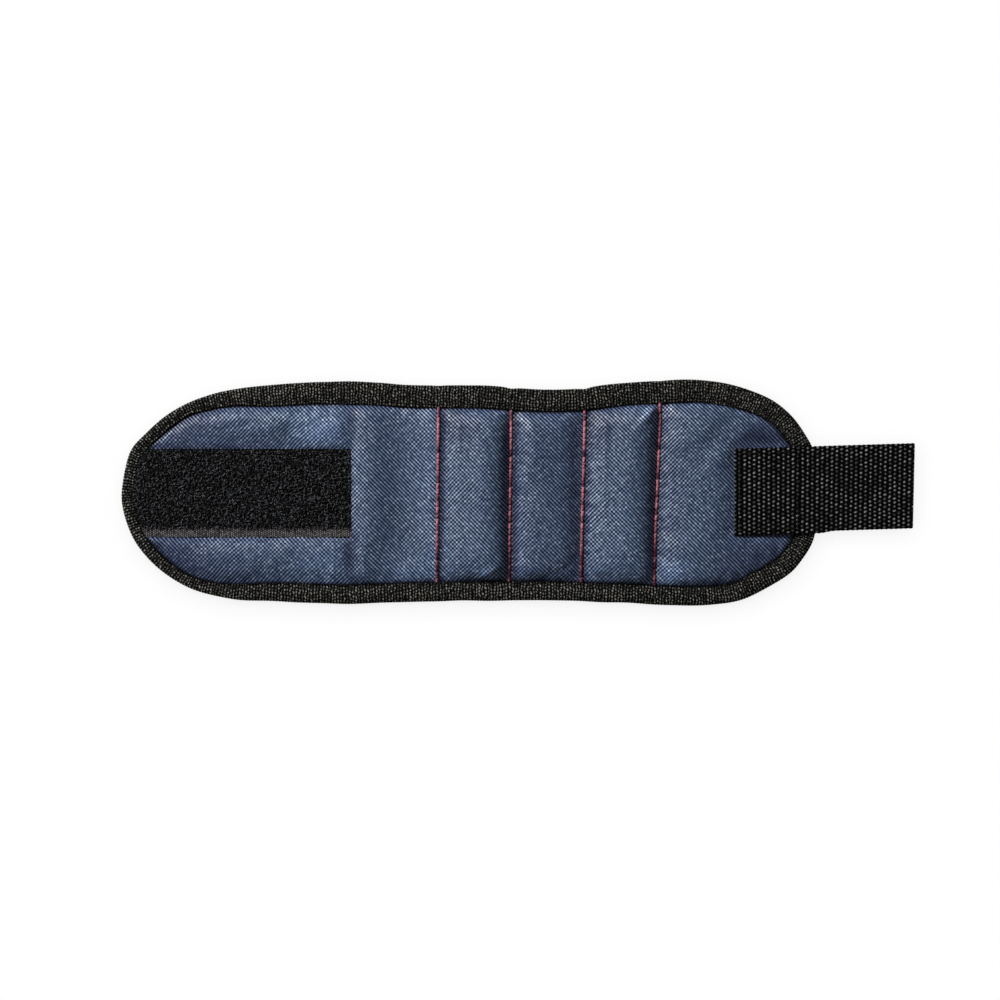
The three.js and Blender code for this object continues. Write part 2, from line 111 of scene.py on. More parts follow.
# What repeats in the cloths: ribs, yarns, the holes of the mesh, and the dots of the webbing
RIB_PITCH = 1.3
YARN_PITCH = 0.88
HOLE_PITCH_X = 2.4
HOLE_PITCH_Y = 2.8
HOLE_WIDTH = 0.55
HOLE_LENGTH = 0.5
HOLE_DEPTH = 0.22
WEFT_PITCH = 2.1            # from one column of dots on the strap to the next
PICK_PITCH = 1.83           # from dot to dot in a column
PICK_WIDTH = 0.38
PICK_LENGTH = 0.46
PICK_HEIGHT = 0.2

# The folds from the loop end to the strap end, and the panels on either side of each
JOINTS = sorted(frame["joints"], key=lambda joint: joint["pos_m"][0])
FOLD_X = [joint["pos_m"][0] / MM for joint in JOINTS]
FOLD_Z = [joint["pos_m"][2] / MM for joint in JOINTS]
FOLD_NAMES = [joint["name"].replace("fold_", "") for joint in JOINTS]
PANEL_FOLDS = len(JOINTS) - 1
STRAP_FOLD = PANEL_FOLDS
ROW_FOLDS = [i for i, name in enumerate(FOLD_NAMES) if name.startswith("row")]
ROW_X = np.array([FOLD_X[i] for i in ROW_FOLDS])
BEND_HALF_WIDTH = {"loop_tip": 12.0, "loop_middle": 12.0, "strap_root": 5.0}
PLAIN_BEND_HALF_WIDTH = 6.0

# How far each row of stitches leans: its x at the upper edge and at the lower edge, from the fold
ROW_LEAN_UPPER = np.array([0.3, 0.2, 0.5, 1.5])
ROW_LEAN_LOWER = np.array([-0.3, -0.6, -1.0, -0.9])

RANDOM_SEED = 11


def fold_panels(fold):
    """The bodies on the left and on the right of a fold."""
    joint = JOINTS[fold]
    if joint["axis"][1] < 0:
        return joint["child"], joint["parent"]
    return joint["parent"], joint["child"]


def panel_name(body):
    return body.replace("panel_", "")


def bend(piece, fold):
    """Bakes a piece's place into its mesh; the fold's span is worked out and not used."""
    left, right = fold_panels(fold)
    half = BEND_HALF_WIDTH.get(FOLD_NAMES[fold], PLAIN_BEND_HALF_WIDTH)
    start = ((FOLD_X[fold] - half) * MM, 0, FOLD_Z[fold] * MM)
    end = ((FOLD_X[fold] + half) * MM, 0, FOLD_Z[fold] * MM)
    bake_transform(piece)


# Curves and smooth steps

def mix(a, b, share):
    return a + (b - a) * share


def smooth(share):
    t = np.clip(share, 0, 1)
    return t * t * (3 - 2 * t)


def roll(share):
    t = np.clip(share, 0, 1)
    return t * (2 - t)


def hump(distance, width):
    return np.exp(-(distance / width) ** 2)


def joined(*parts):
    """Coordinates side by side, as points. A part may be one number for all of them."""
    return np.stack(np.broadcast_arrays(*parts), axis=-1)


def line_at(line, along, places):
    """The points of a line at places along it."""
    return joined(*(np.interp(places, along, values) for values in line.T))


def soft_noise(x, y, size, seed):
    """Smooth random hills between -1 and 1, about so many millimetres across."""
    cells = 256
    lattice = np.random.default_rng(seed).uniform(-1, 1, (cells, cells))
    u = np.asarray(x, float) / size + cells / 2
    v = np.asarray(y, float) / size + cells / 2
    i = np.floor(u).astype(int)
    j = np.floor(v).astype(int)
    fu = smooth(u - i)
    fv = smooth(v - j)
    i %= cells - 1
    j %= cells - 1
    near = mix(lattice[i, j], lattice[i + 1, j], fu)
    far = mix(lattice[i, j + 1], lattice[i + 1, j + 1], fu)
    return mix(near, far, fv)


def smooth_table(places, values, width):
    """A function through a few chosen points, rounded over the given width."""
    fine = np.linspace(places[0] - 4 * width, places[-1] + 4 * width, 3000)
    step = fine[1] - fine[0]
    reach = int(3 * width / step)
    kernel = hump(np.arange(-reach, reach + 1) * step, width)
    straight = np.interp(fine, places, values)
    padded_line = np.concatenate([np.full(reach, straight[0]), straight, np.full(reach, straight[-1])])
    rounded = np.convolve(padded_line, kernel / kernel.sum(), mode="valid")
    return lambda x: np.interp(x, fine, rounded)


# The outline of the band: shares of its length from the tip, and of its half width

UPPER_EDGE_SHARES = [
    (0, 0.08), (0.011, 0.365), (0.034, 0.53), (0.061, 0.675), (0.089, 0.782), (0.122, 0.857),
    (0.165, 0.922), (0.24, 0.97), (0.32, 0.984), (0.42, 0.958), (0.51, 0.95), (0.605, 0.918),
    (0.66, 0.925), (0.72, 0.97), (0.8, 0.998), (0.855, 0.988), (0.902, 0.917), (0.94, 0.81),
    (0.968, 0.668), (0.988, 0.49), (0.997, 0.37),
]
LOWER_EDGE_SHARES = [
    (0, 0.12), (0.014, 0.38), (0.034, 0.56), (0.061, 0.71), (0.089, 0.82), (0.122, 0.895),
    (0.165, 0.942), (0.22, 0.957), (0.31, 0.978), (0.42, 0.958), (0.51, 0.952), (0.605, 0.95),
    (0.7, 0.965), (0.79, 0.992), (0.85, 0.99), (0.895, 0.938), (0.935, 0.818), (0.965, 0.697),
    (0.982, 0.575), (0.994, 0.46), (0.999, 0.36),
]
STRAP_END_SHARES = [(1, -0.15), (1, 0.16)]


def even_closed_curve(points, spacing):
    """Samples, evenly spaced, of a smooth closed curve through the points."""
    total = len(points)
    t = np.linspace(0, 1, 60, endpoint=False)[:, None]
    runs = []
    for i in range(total):
        p0, p1, p2, p3 = (points[(i + k - 1) % total] for k in range(4))
        gap0, gap1, gap2 = (math.dist(a, b) ** 0.5 for a, b in ((p0, p1), (p1, p2), (p2, p3)))
        leave = ((p1 - p0) / gap0 - (p2 - p0) / (gap0 + gap1) + (p2 - p1) / gap1) * gap1
        arrive = ((p2 - p1) / gap1 - (p3 - p1) / (gap1 + gap2) + (p3 - p2) / gap2) * gap1
        square = 3 * (p2 - p1) - 2 * leave - arrive
        cube = 2 * (p1 - p2) + leave + arrive
        runs.append(p1 + leave * t + square * t ** 2 + cube * t ** 3)
    dense = np.concatenate(runs + [runs[0][:1]])
    along = np.concatenate([[0], np.cumsum(np.hypot(*np.diff(dense, axis=0).T))])
    count = int(round(along[-1] / spacing))
    return line_at(dense, along, np.linspace(0, along[-1], count, endpoint=False)), along[-1] / count


def outline_points():
    shares = UPPER_EDGE_SHARES[::-1] + [(a, -b) for a, b in LOWER_EDGE_SHARES] + STRAP_END_SHARES
    return np.array([(TIP_X + BAND_LENGTH * a, BAND_HALF_WIDTH * b) for a, b in shares])


def inward_of(curve):
    """Unit vectors that point into a closed curve which runs anticlockwise."""
    along = np.roll(curve, -3, axis=0) - np.roll(curve, 3, axis=0)
    along /= np.linalg.norm(along, axis=1)[:, None]
    return joined(-along[:, 1], along[:, 0])


def binding_reach(points):
    """How far the edge tape reaches in from the outline."""
    share = (points[:, 0] - TIP_X) / BAND_LENGTH
    side = np.where(points[:, 1] > 0, BINDING_UPPER, BINDING_LOWER)
    from_tip = smooth((share - 0.08) / 0.16)
    to_strap = smooth((share - 0.84) / 0.11)
    return mix(mix(BINDING_AT_TIP, side, from_tip), BINDING_AT_STRAP, to_strap)


OUTLINE, OUTLINE_STEP = even_closed_curve(outline_points(), RIB_PITCH / 4)
INWARD = inward_of(OUTLINE)
REACH = binding_reach(OUTLINE)
INNER_EDGE = (OUTLINE + INWARD * REACH[:, None])[::3]
INNER_INWARD = inward_of(INNER_EDGE)
AT_ONCE = 4000              # places measured together, few enough for the memory


def depth_inside(x, y):
    """How far places lie in from the edge tape's inner edge; negative under the tape."""
    shape = np.shape(x)
    places = joined(np.ravel(x), np.ravel(y))
    depth = np.empty(len(places))
    for start in range(0, len(places), AT_ONCE):
        part = places[start:start + AT_ONCE]
        apart = part[:, None, :] - INNER_EDGE[None, :, :]
        nearest = np.argmin((apart ** 2).sum(axis=2), axis=1)
        way = apart[np.arange(len(part)), nearest]
        depth[start:start + AT_ONCE] = (way * INNER_INWARD[nearest]).sum(axis=1)
    return depth.reshape(shape)


def edges_at(xs, inset):
    """The y of the outline, drawn in by an inset, below and above each place along the band."""
    a = OUTLINE + INWARD * inset
    b = np.roll(a, -1, axis=0)
    lower = []
    upper = []
    for x in xs:
        crossed = (np.minimum(a[:, 0], b[:, 0]) <= x) & (x < np.maximum(a[:, 0], b[:, 0]))
        share = (x - a[crossed, 0]) / (b[crossed, 0] - a[crossed, 0])
        y = mix(a[crossed, 1], b[crossed, 1], share)
        lower.append(y.min())
        upper.append(y.max())
    return np.array(lower), np.array(upper)


# Places at which the layers are divided, each in the middle of a panel

MIDDLES = [(FOLD_X[k] + FOLD_X[k + 1]) / 2 for k in range(PANEL_FOLDS - 1)]


def columns_between(inset, step):
    """Places along the band for a sheet's columns, and where each fold's piece starts and ends."""
    curve = OUTLINE + INWARD * inset
    ends = [curve[:, 0].min() + 0.2, *MIDDLES, curve[:, 0].max() - 0.2]
    columns = [ends[0]]
    cuts = [0]
    for k in range(len(ends) - 1):
        count = int(math.ceil((ends[k + 1] - ends[k]) / step))
        share = np.linspace(0, 1, count + 1)[1:]
        if k == 0:
            share = mix(share, 1 - np.cos(share * math.pi / 2), 0.6)
        if k == len(ends) - 2:
            share = mix(share, np.sin(share * math.pi / 2), 0.6)
        columns.extend(mix(ends[k], ends[k + 1], share))
        cuts.append(len(columns) - 1)
    return np.array(columns), cuts


def sheet_plan(inset, step, rows):
    """The plan of a sheet: x and y of every point, in columns across the band, and the cuts."""
    columns, cuts = columns_between(inset, step)
    lower, upper = edges_at(columns, inset)
    y = mix(lower[:, None], upper[:, None], np.linspace(0, 1, rows)[None, :])
    x = np.repeat(columns[:, None], rows, axis=1)
    return x, y, cuts


# The form of the front cloth

def row_place(row, y):
    """The x of a leaning row of stitches at a height across the band."""
    share = smooth((np.asarray(y) / BAND_HALF_WIDTH + 0.8) / 1.6)
    return ROW_X[row] + mix(ROW_LEAN_LOWER[row], ROW_LEAN_UPPER[row], share)


def from_rows(x, y):
    """How far places are from the nearest row of stitches."""
    return np.min([np.abs(x - row_place(k, y)) for k in range(4)], axis=0)


def off_edge(depth):
    """How a layer comes up to its full height from the edge tape."""
    return roll((depth + 0.5) / 4)


# Rises of the front cloth over its seams: over a pocket by share of the pitch, from the row on its left,
# over the plain fields by distance from the loop tape or from the last row
POCKET_SHARES = [0, 0.04, 0.08, 0.12, 0.16, 0.2, 0.26, 0.32, 0.4, 0.5, 0.56, 0.62, 0.68, 0.74,
                 0.8, 0.85, 0.9, 0.95, 1]
POCKET_LIFTS = [0, 0.03, 0.13, 0.235, 0.335, 0.425, 0.525, 0.61, 0.71, 0.83, 0.89, 0.94, 0.975, 0.98,
                0.93, 0.82, 0.62, 0.3, 0]
SLOPING_POCKET_SHARES = [0, 0.03, 0.07, 0.11, 0.16, 0.2, 0.25, 0.3, 0.4, 0.5, 0.6, 0.67, 0.74, 0.8,
                         0.86, 0.92, 0.96, 1]
SLOPING_POCKET_LIFTS = [0, 0.03, 0.16, 0.32, 0.5, 0.63, 0.73, 0.78, 0.77, 0.74, 0.71, 0.68, 0.61, 0.5,
                        0.33, 0.16, 0.06, 0]
NECK_OFFSETS = [-3.0, 0.0, 3.5, 7.0, 10.5, 14.0, 17.5, 21.0, 24.5, 28.0, 31.5, 35.0, 38.0, 42.0]
NECK_RISES = [1.6, 1.7, 2.8, 3.2, 3.0, 2.2, 1.3, 0.7, 0.55, 0.75, 1.15, 1.7, 2.1, 2.3]
FLANK_OFFSETS = [0, 1.5, 3.0, 6.0, 9.0, 12.0, 17.0, 22.0, 26.0, 29.0, 32.5, 40.0, 60.0]
FLANK_RISES = [0, 0.35, 0.8, 1.75, 2.4, 2.85, 3.3, 3.7, 3.65, 2.9, 1.5, 0.95, 0.9]
BESIDE_STRAP_RISES = [0, 0.45, 1.1, 2.3, 3.2, 3.8, 4.1, 3.9, 3.5, 3.1, 2.6, 1.7, 0.4]
FIELD_SHARES = [0, 0.12, 0.28, 0.45, 0.6, 0.72, 0.84, 0.93, 1]
UPPER_FIELD_RISES = [1.0, 1.3, 2.0, 3.1, 3.9, 4.1, 3.1, 1.5, 0]
UPPER_CORNER_RISES = [1.6, 2.9, 3.7, 3.7, 3.2, 2.4, 1.4, 0.6, 0]
LOWER_FIELD_RISES = [1.2, 3.2, 3.9, 3.8, 3.3, 2.6, 1.6, 0.7, 0]
pocket_lift = smooth_table(POCKET_SHARES, POCKET_LIFTS, 0.018)
sloping_pocket_lift = smooth_table(SLOPING_POCKET_SHARES, SLOPING_POCKET_LIFTS, 0.018)
neck_rise = smooth_table(NECK_OFFSETS, NECK_RISES, 1.5)
flank_rise = smooth_table(FLANK_OFFSETS, FLANK_RISES, 1.0)
beside_strap_rise = smooth_table(FLANK_OFFSETS, BESIDE_STRAP_RISES, 1.0)
upper_field_rise = smooth_table(FIELD_SHARES, UPPER_FIELD_RISES, 0.05)
upper_corner_rise = smooth_table(FIELD_SHARES, UPPER_CORNER_RISES, 0.05)
lower_field_rise = smooth_table(FIELD_SHARES, LOWER_FIELD_RISES, 0.05)
ROW_STAND = 2.0             # how far the first row stands over the others

# How the cloth comes up from the edge tape, as a share of its rise
EDGE_DEPTHS = [0, 1.5, 3.0, 5.0, 8.0, 12.0, 18.0, 26.0]
EDGE_LIFTS = [0, 0.4, 0.66, 0.82, 0.91, 0.96, 0.99, 1]
edge_lift = smooth_table(EDGE_DEPTHS, EDGE_LIFTS, 0.7)

# Folds and puckers: middle x and y, direction in degrees, half length, half width, height
CREASES = [
    (57.0, 34.5, 52, 7.0, 1.8, 1.5),
    (-14.0, -35.2, 38, 6.0, 1.4, 1.3),
    (-17.0, -36.5, 30, 7.0, 1.5, -0.5),
    (6.0, -33.0, -35, 8.0, 1.8, 0.5),
    (16.0, -34.5, 25, 8.0, 1.8, -0.5),
    (40.0, -36.0, 8, 10.0, 1.8, -0.5),
    (86.0, 25.0, 52, 15.0, 3.2, -0.7),
    (92.0, 20.0, 45, 13.0, 3.0, 0.6),
    (106.0, 22.0, -12, 9.0, 3.0, -0.8),
    (86.0, -33.0, -38, 13.0, 4.0, -0.5),
    (-112.0, 31.0, 12, 16.0, 2.6, -0.5),
    (-88.0, 33.0, 24, 9.0, 2.4, 0.5),
    (-142.0, -27.0, -40, 10.0, 3.5, -0.6),
]


def creases_at(x, y):
    total = np.zeros(np.shape(x))
    for mid_x, mid_y, degrees, half_length, half_width, height in CREASES:
        turn = math.radians(degrees)
        along = (x - mid_x) * math.cos(turn) + (y - mid_y) * math.sin(turn)
        across = (y - mid_y) * math.cos(turn) - (x - mid_x) * math.sin(turn)
        total += height * hump(along, half_length) * hump(across, half_width)
    return total


def loop_field_rise(x, y, depth):
    """The rise of the front cloth under the loop tape and on both sides of it."""
    beside = np.maximum(np.abs(y) - HALF_TAPE, 0)
    share = beside / np.maximum(beside + np.maximum(depth, 0), 0.1)
    upper = mix(upper_field_rise(share), upper_corner_rise(share), smooth((x + 102) / 16))
    field = np.where(y > 0, upper, lower_field_rise(share))
    upper_narrow = 0.2 + 0.8 * smooth((x - TIP_X - 10) / 60)
    lower_narrow = 1.1 - 0.55 * smooth((x - TIP_X - 40) / 60)
    tape_edge = PATCH_TOP - SEAM_TOP
    beside_tape = tape_edge * (1 - share)
    beside_tape = beside_tape + (field - beside_tape) * np.where(y > 0, upper_narrow, lower_narrow)
    return mix(tape_edge * off_edge(depth), beside_tape, smooth(beside / 0.6))


def cloth_top(x, y, depth):
    """The height of the front cloth before it settles."""
    rows = [row_place(k, y) for k in range(4)]
    edge = edge_lift(depth)
    rise = loop_field_rise(x, y, depth)
    past_tape = x - PATCH_END_X
    slip = 5.0 * smooth((-y - 12) / 16) + 2.0 * smooth((y - 14) / 16)
    neck = neck_rise(past_tape + slip * smooth((past_tape - 2) / 6)) * edge
    over_corner = smooth((y - HALF_TAPE) / 4)
    to_neck = smooth((past_tape + mix(3, 8, over_corner)) / mix(4.5, 16, over_corner))
    rise = np.where(past_tape > -9, mix(rise, neck, to_neck), rise)
    for k, lift in enumerate((pocket_lift, sloping_pocket_lift, pocket_lift)):
        share = (x - rows[k]) / (rows[k + 1] - rows[k])
        stand = ROW_STAND * hump(x - rows[0], 2.4) * edge if k == 0 else 0
        rise = np.where((share >= 0) & (share < 1), POCKET_RISE * lift(share) * edge + stand, rise)
    past_row = x - rows[3]
    flank = mix(flank_rise(past_row), beside_strap_rise(past_row), smooth((np.abs(y) - 15) / 10))
    rise = np.where(past_row >= 0, flank * edge, rise)
    row_gap = from_rows(x, y)
    sewn = np.where(np.abs(x - rows[0]) < 6, 0.1, 1.0)
    puckers = 0.12 * np.cos(y * 2 * math.pi / 5.2 + 3 * soft_noise(x, y, 9, 5)) * hump(row_gap - 2, 2.2)
    edge_puckers = 0.16 * np.cos(x * 2 * math.pi / 7.5 + 4 * soft_noise(x, y, 16, 6)) * hump(depth - 1.5, 1.8)
    hills = 0.13 * soft_noise(x, y, 15, 7) + 0.04 * soft_noise(x, y, 7, 8)
    free = smooth(depth / 3) * smooth(row_gap / 3)
    z = SEAM_TOP + rise * (1 - sewn * hump(row_gap, 0.8)) + (creases_at(x, y) + hills) * free
    return kept_over(z + puckers * smooth(depth / 2) + edge_puckers, over_carriers(x, y))


def over_carriers(x, y):
    """The least height of the cloth's top where it lies over the magnet carriers."""
    least = np.zeros(np.shape(x))
    for low, high in CARRIER_BOXES:
        away_x = np.maximum(np.maximum(low[0] - x, x - high[0]), 0)
        away_y = np.maximum(np.maximum(low[1] - y, y - high[1]), 0)
        least = np.maximum(least, high[2] + CLOTH_THICKNESS + 0.06 - 0.8 * np.hypot(away_x, away_y))
    return least


def kept_over(z, least):
    """A height kept over the least one, with a soft passage between the two."""
    gap = least - z
    return z + 0.5 * (gap + np.sqrt(gap * gap + 0.06))


def held_down(x, y, depth):
    """Where the front cloth is sewn down and can't move."""
    under_tape = (np.abs(y) < HALF_TAPE) & ((x < PATCH_END_X) | (x > STRAP_START_X))
    return (depth < 0.6) | (from_rows(x, y) < 1.1) | under_tape


CLOTH_FRAMES = 22
CLOTH_SCALE = 20.0          # it settles at this many times its size
CLOTH_SPARE = 0.012         # its spare length, as a share
CLOTH_CAP = 0.7             # the most that a place may move
CLOTH_SETTINGS = {
    "quality": 8, "mass": 0.25, "tension_stiffness": 18, "compression_stiffness": 18, "shear_stiffness": 7,
    "bending_stiffness": 3.0, "vertex_group_mass": "held", "shrink_min": -CLOTH_SPARE,
    "shrink_max": -CLOTH_SPARE, "use_pressure": True, "uniform_pressure_force": 1.2,
}


def settled(x, y, z, held):
    """How far the front cloth moves when it settles: a simulation of loose cloth sewn down at its seams."""
    columns, rows = x.shape
    points = joined(x, y, z)
    loose = mesh_from("loose_cloth", points.reshape(-1, 3) * CLOTH_SCALE, grid_quads(columns, rows))
    group = loose.vertex_groups.new(name="held")
    group.add([int(i) for i in np.flatnonzero(held.ravel())], 1.0, "REPLACE")
    cloth = loose.modifiers.new("cloth", "CLOTH")
    for label, value in CLOTH_SETTINGS.items():
        setattr(cloth.settings, label, value)
    cloth.settings.effector_weights.gravity = 0
    cloth.collision_settings.use_collision = False
    scene = bpy.context.scene
    scene.frame_start = 1
    scene.frame_end = CLOTH_FRAMES
    for number in range(1, CLOTH_FRAMES + 1):
        scene.frame_set(number)
    shaped = loose.evaluated_get(bpy.context.evaluated_depsgraph_get())
    after = np.empty(len(shaped.data.vertices) * 3, np.float32)
    shaped.data.vertices.foreach_get("co", after)
    moved = after.reshape(columns, rows, 3) / (CLOTH_SCALE * MM) - points
    bpy.data.objects.remove(loose)
    scene.frame_set(1)
    length = np.linalg.norm(moved, axis=2, keepdims=True)
    moved = moved * np.minimum(1, CLOTH_CAP / np.maximum(length, 1e-6))
    for _ in range(2):
        moved[1:-1] = (moved[:-2] + 2 * moved[1:-1] + moved[2:]) / 4
        moved[:, 1:-1] = (moved[:, :-2] + 2 * moved[:, 1:-1] + moved[:, 2:]) / 4
    return moved


def resample(grid, along, across):
    """Reads a grid of values at fractional columns and rows, with a smooth curve through them."""
    def pick(values, places):
        base = np.clip(np.floor(places).astype(int), 0, len(values) - 2)
        t = (places - base)[:, None, None]
        before, here, after, beyond = (
            values[np.clip(base + k, 0, len(values) - 1)] for k in (-1, 0, 1, 2))
        square = before - 2.5 * here + 2 * after - 0.5 * beyond
        cube = 0.5 * (beyond - before) + 1.5 * (here - after)
        return here + 0.5 * (after - before) * t + square * t ** 2 + cube * t ** 3
    halfway = pick(grid, along)
    return pick(halfway.transpose(1, 0, 2), across).transpose(1, 0, 2)


# Meshes

def grid_quads(columns, rows, first=0):
    index = first + np.arange(columns * rows).reshape(columns, rows)
    quads = np.stack([index[:-1, :-1], index[1:, :-1], index[1:, 1:], index[:-1, 1:]], axis=2)
    return quads.reshape(-1, 4)


def add_object(name, data):
    """An object of the scene that holds a mesh, a camera or a light."""
    made = bpy.data.objects.new(name, data)
    bpy.context.scene.collection.objects.link(made)
    return made


def flat(values, scale=1):
    """Numbers in one row, as a mesh takes them."""
    return (np.asarray(values) * scale).astype(np.float32).ravel()


def mesh_from(name, points, quads, uv=None, attributes=None):
    """A mesh object of four-sided faces; points and uv come in millimetres and are kept in metres."""
    mesh = bpy.data.meshes.new(name)
    mesh.vertices.add(len(points))
    mesh.vertices.foreach_set("co", flat(points, MM))
    mesh.loops.add(quads.size)
    mesh.loops.foreach_set("vertex_index", quads.astype(np.int32).ravel())
    mesh.polygons.add(len(quads))
    mesh.polygons.foreach_set("loop_start", np.arange(0, quads.size, 4, dtype=np.int32))
    mesh.polygons.foreach_set("use_smooth", np.ones(len(quads), bool))
    mesh.update(calc_edges=True)
    if uv is not None:
        mesh.uv_layers.new(name="cloth").uv.foreach_set("vector", flat(uv[quads.ravel()], MM))
    for label, values in (attributes or {}).items():
        mesh.attributes.new(label, "FLOAT", "POINT").data.foreach_set("value", flat(values))
    return add_object(name, mesh)


def shell(name, upper, lower, uv, material, attributes):
    """A closed sheet between two grids of points, its rim sharp."""
    columns, rows = upper.shape[:2]
    count = columns * rows
    top = grid_quads(columns, rows)
    under = grid_quads(columns, rows, count)[:, ::-1]
    index = np.arange(count).reshape(columns, rows)
    rim = np.concatenate([index[:, 0], index[-1, 1:], index[-2::-1, -1], index[0, -2:0:-1]])
    after = np.roll(rim, -1)
    side = np.stack([rim, rim + count, after + count, after], axis=1)
    quads = np.concatenate([top, under, side])
    points = np.concatenate([upper.reshape(-1, 3), lower.reshape(-1, 3)])
    doubled = {label: np.concatenate([np.ravel(values)] * 2) for label, values in attributes.items()}
    piece = mesh_from(name, points, quads, np.concatenate([uv.reshape(-1, 2)] * 2), doubled)
    mesh = piece.data
    is_rim = np.zeros(len(points), bool)
    is_rim[rim] = True
    is_rim[rim + count] = True
    ends = np.empty(len(mesh.edges) * 2, np.int32)
    mesh.edges.foreach_get("vertices", ends)
    ends = ends.reshape(-1, 2)
    same_face = (ends[:, 0] < count) == (ends[:, 1] < count)
    sharp = mesh.attributes.new("sharp_edge", "BOOLEAN", "EDGE")
    sharp.data.foreach_set("value", is_rim[ends[:, 0]] & is_rim[ends[:, 1]] & same_face)
    mesh.materials.append(material)
    return piece


# Shader and geometry trees

FLOAT = "NodeSocketFloat"
MIX_A, MIX_B, MIXED = 6, 7, 2       # the colour sockets of a mix node


class Signal:
    """What comes out of a node. Arithmetic on it adds math nodes."""

    def __init__(self, tree, socket):
        self.tree = tree
        self.socket = socket

    def __add__(self, other):
        return self.tree.math("ADD", self, other)

    def __sub__(self, other):
        return self.tree.math("SUBTRACT", self, other)

    def __rsub__(self, other):
        return self.tree.math("SUBTRACT", other, self)

    def __mul__(self, other):
        return self.tree.math("MULTIPLY", self, other)

    def __truediv__(self, other):
        return self.tree.math("DIVIDE", self, other)

    def __pow__(self, other):
        return self.tree.math("POWER", self, other)


class Tree:
    """Adds nodes to a tree. A value is a number, a colour, a signal, or None for what the socket holds already."""

    def __init__(self, tree):
        self.tree = tree
        tree.nodes.clear()

    def node(self, kind, inputs=None, **settings):
        made = self.tree.nodes.new(kind)
        for label, value in settings.items():
            setattr(made, label, value)
        for label, value in (inputs or {}).items():
            self.feed(made.inputs[label], value)
        return made

    def get(self, kind, output, inputs=None, **settings):
        """One output of a new node."""
        return Signal(self, self.node(kind, inputs, **settings).outputs[output])

    def feed(self, socket, value):
        if isinstance(value, Signal):
            self.tree.links.new(value.socket, socket)
        elif value is not None:
            socket.default_value = value

    def math(self, operation, a, b=None, clamp=False):
        return self.get("ShaderNodeMath", 0, {0: a, 1: b}, operation=operation, use_clamp=clamp)

    def ramp(self, value, low, high, to_low=0.0, to_high=1.0, kind="SMOOTHSTEP"):
        limits = {"From Min": low, "From Max": high, "To Min": to_low, "To Max": to_high}
        return self.get("ShaderNodeMapRange", "Result", {"Value": value, **limits}, interpolation_type=kind)

    def mix_colour(self, share, a, b):
        values = {"Factor": share, MIX_A: a, MIX_B: b}
        return self.get("ShaderNodeMix", MIXED, values, data_type="RGBA", clamp_factor=True)

    def join(self, x=None, y=None, z=None):
        return self.get("ShaderNodeCombineXYZ", 0, {"X": x, "Y": y, "Z": z})

    def axis(self, vector, label):
        return self.get("ShaderNodeSeparateXYZ", label, {0: vector})

    def noise(self, place, scale, detail, roughness=0.5):
        values = {"Vector": place, "Scale": scale, "Detail": detail, "Roughness": roughness}
        return self.get("ShaderNodeTexNoise", "Fac", values)

    def chance(self, place, output="Value"):
        """A random value of its own for each whole place."""
        return self.get("ShaderNodeTexWhiteNoise", output, {"Vector": place}, noise_dimensions="3D")


def new_group(name, inputs, outputs):
    """A shader group that reads the cloth's plan: its tree, its inputs as signals, and its output sockets."""
    group = bpy.data.node_groups.new(name, "ShaderNodeTree")
    group.interface.new_socket(name="Cloth", in_out="INPUT", socket_type="NodeSocketVector")
    for label, value in inputs.items():
        group.interface.new_socket(name=label, in_out="INPUT", socket_type=FLOAT).default_value = value
    for label in outputs:
        group.interface.new_socket(name=label, in_out="OUTPUT", socket_type=FLOAT)
    tree = Tree(group)
    given = tree.node("NodeGroupInput").outputs
    signals = {label: Signal(tree, given[label]) for label in ("Cloth", *inputs)}
    return group, tree, signals, tree.node("NodeGroupOutput").inputs


def plain_weave_group():
    """Plain weave of thick yarns: how light each place is, where a yarn crossing gets a painted glint, and its height.
    """
    inputs = {"Yarn pitch": 0.00088, "Lean": 0.0, "Uneven": 0.25}
    group, tree, given, out = new_group("plain weave", inputs, ["Light", "Worn", "Height"])
    place = given["Cloth"]
    wander = (tree.noise(place, 45.0, 2.0) - 0.5) * 1.6
    u = tree.axis(place, "X") / given["Yarn pitch"] + wander
    v = tree.axis(place, "Y") / given["Yarn pitch"] - wander
    falling = tree.math("COSINE", (u + v) * math.pi)
    rising = tree.math("COSINE", (u - v) * math.pi)
    relief = rising * ((given["Lean"] + 1.0) * 0.5) + falling * ((1.0 - given["Lean"]) * 0.5)
    crossing = tree.join(tree.math("ROUND", u), tree.math("ROUND", v))
    shift = (tree.chance(crossing) - 0.5) * given["Uneven"]
    other = tree.get("ShaderNodeSeparateColor", 1, {0: tree.chance(crossing, "Color")})
    light = tree.ramp(relief + shift, -0.45, 1.05)
    tree.feed(out["Light"], light)
    tree.feed(out["Worn"], light * tree.ramp(other, 0.5, 1.0))
    tree.feed(out["Height"], relief)
    return group


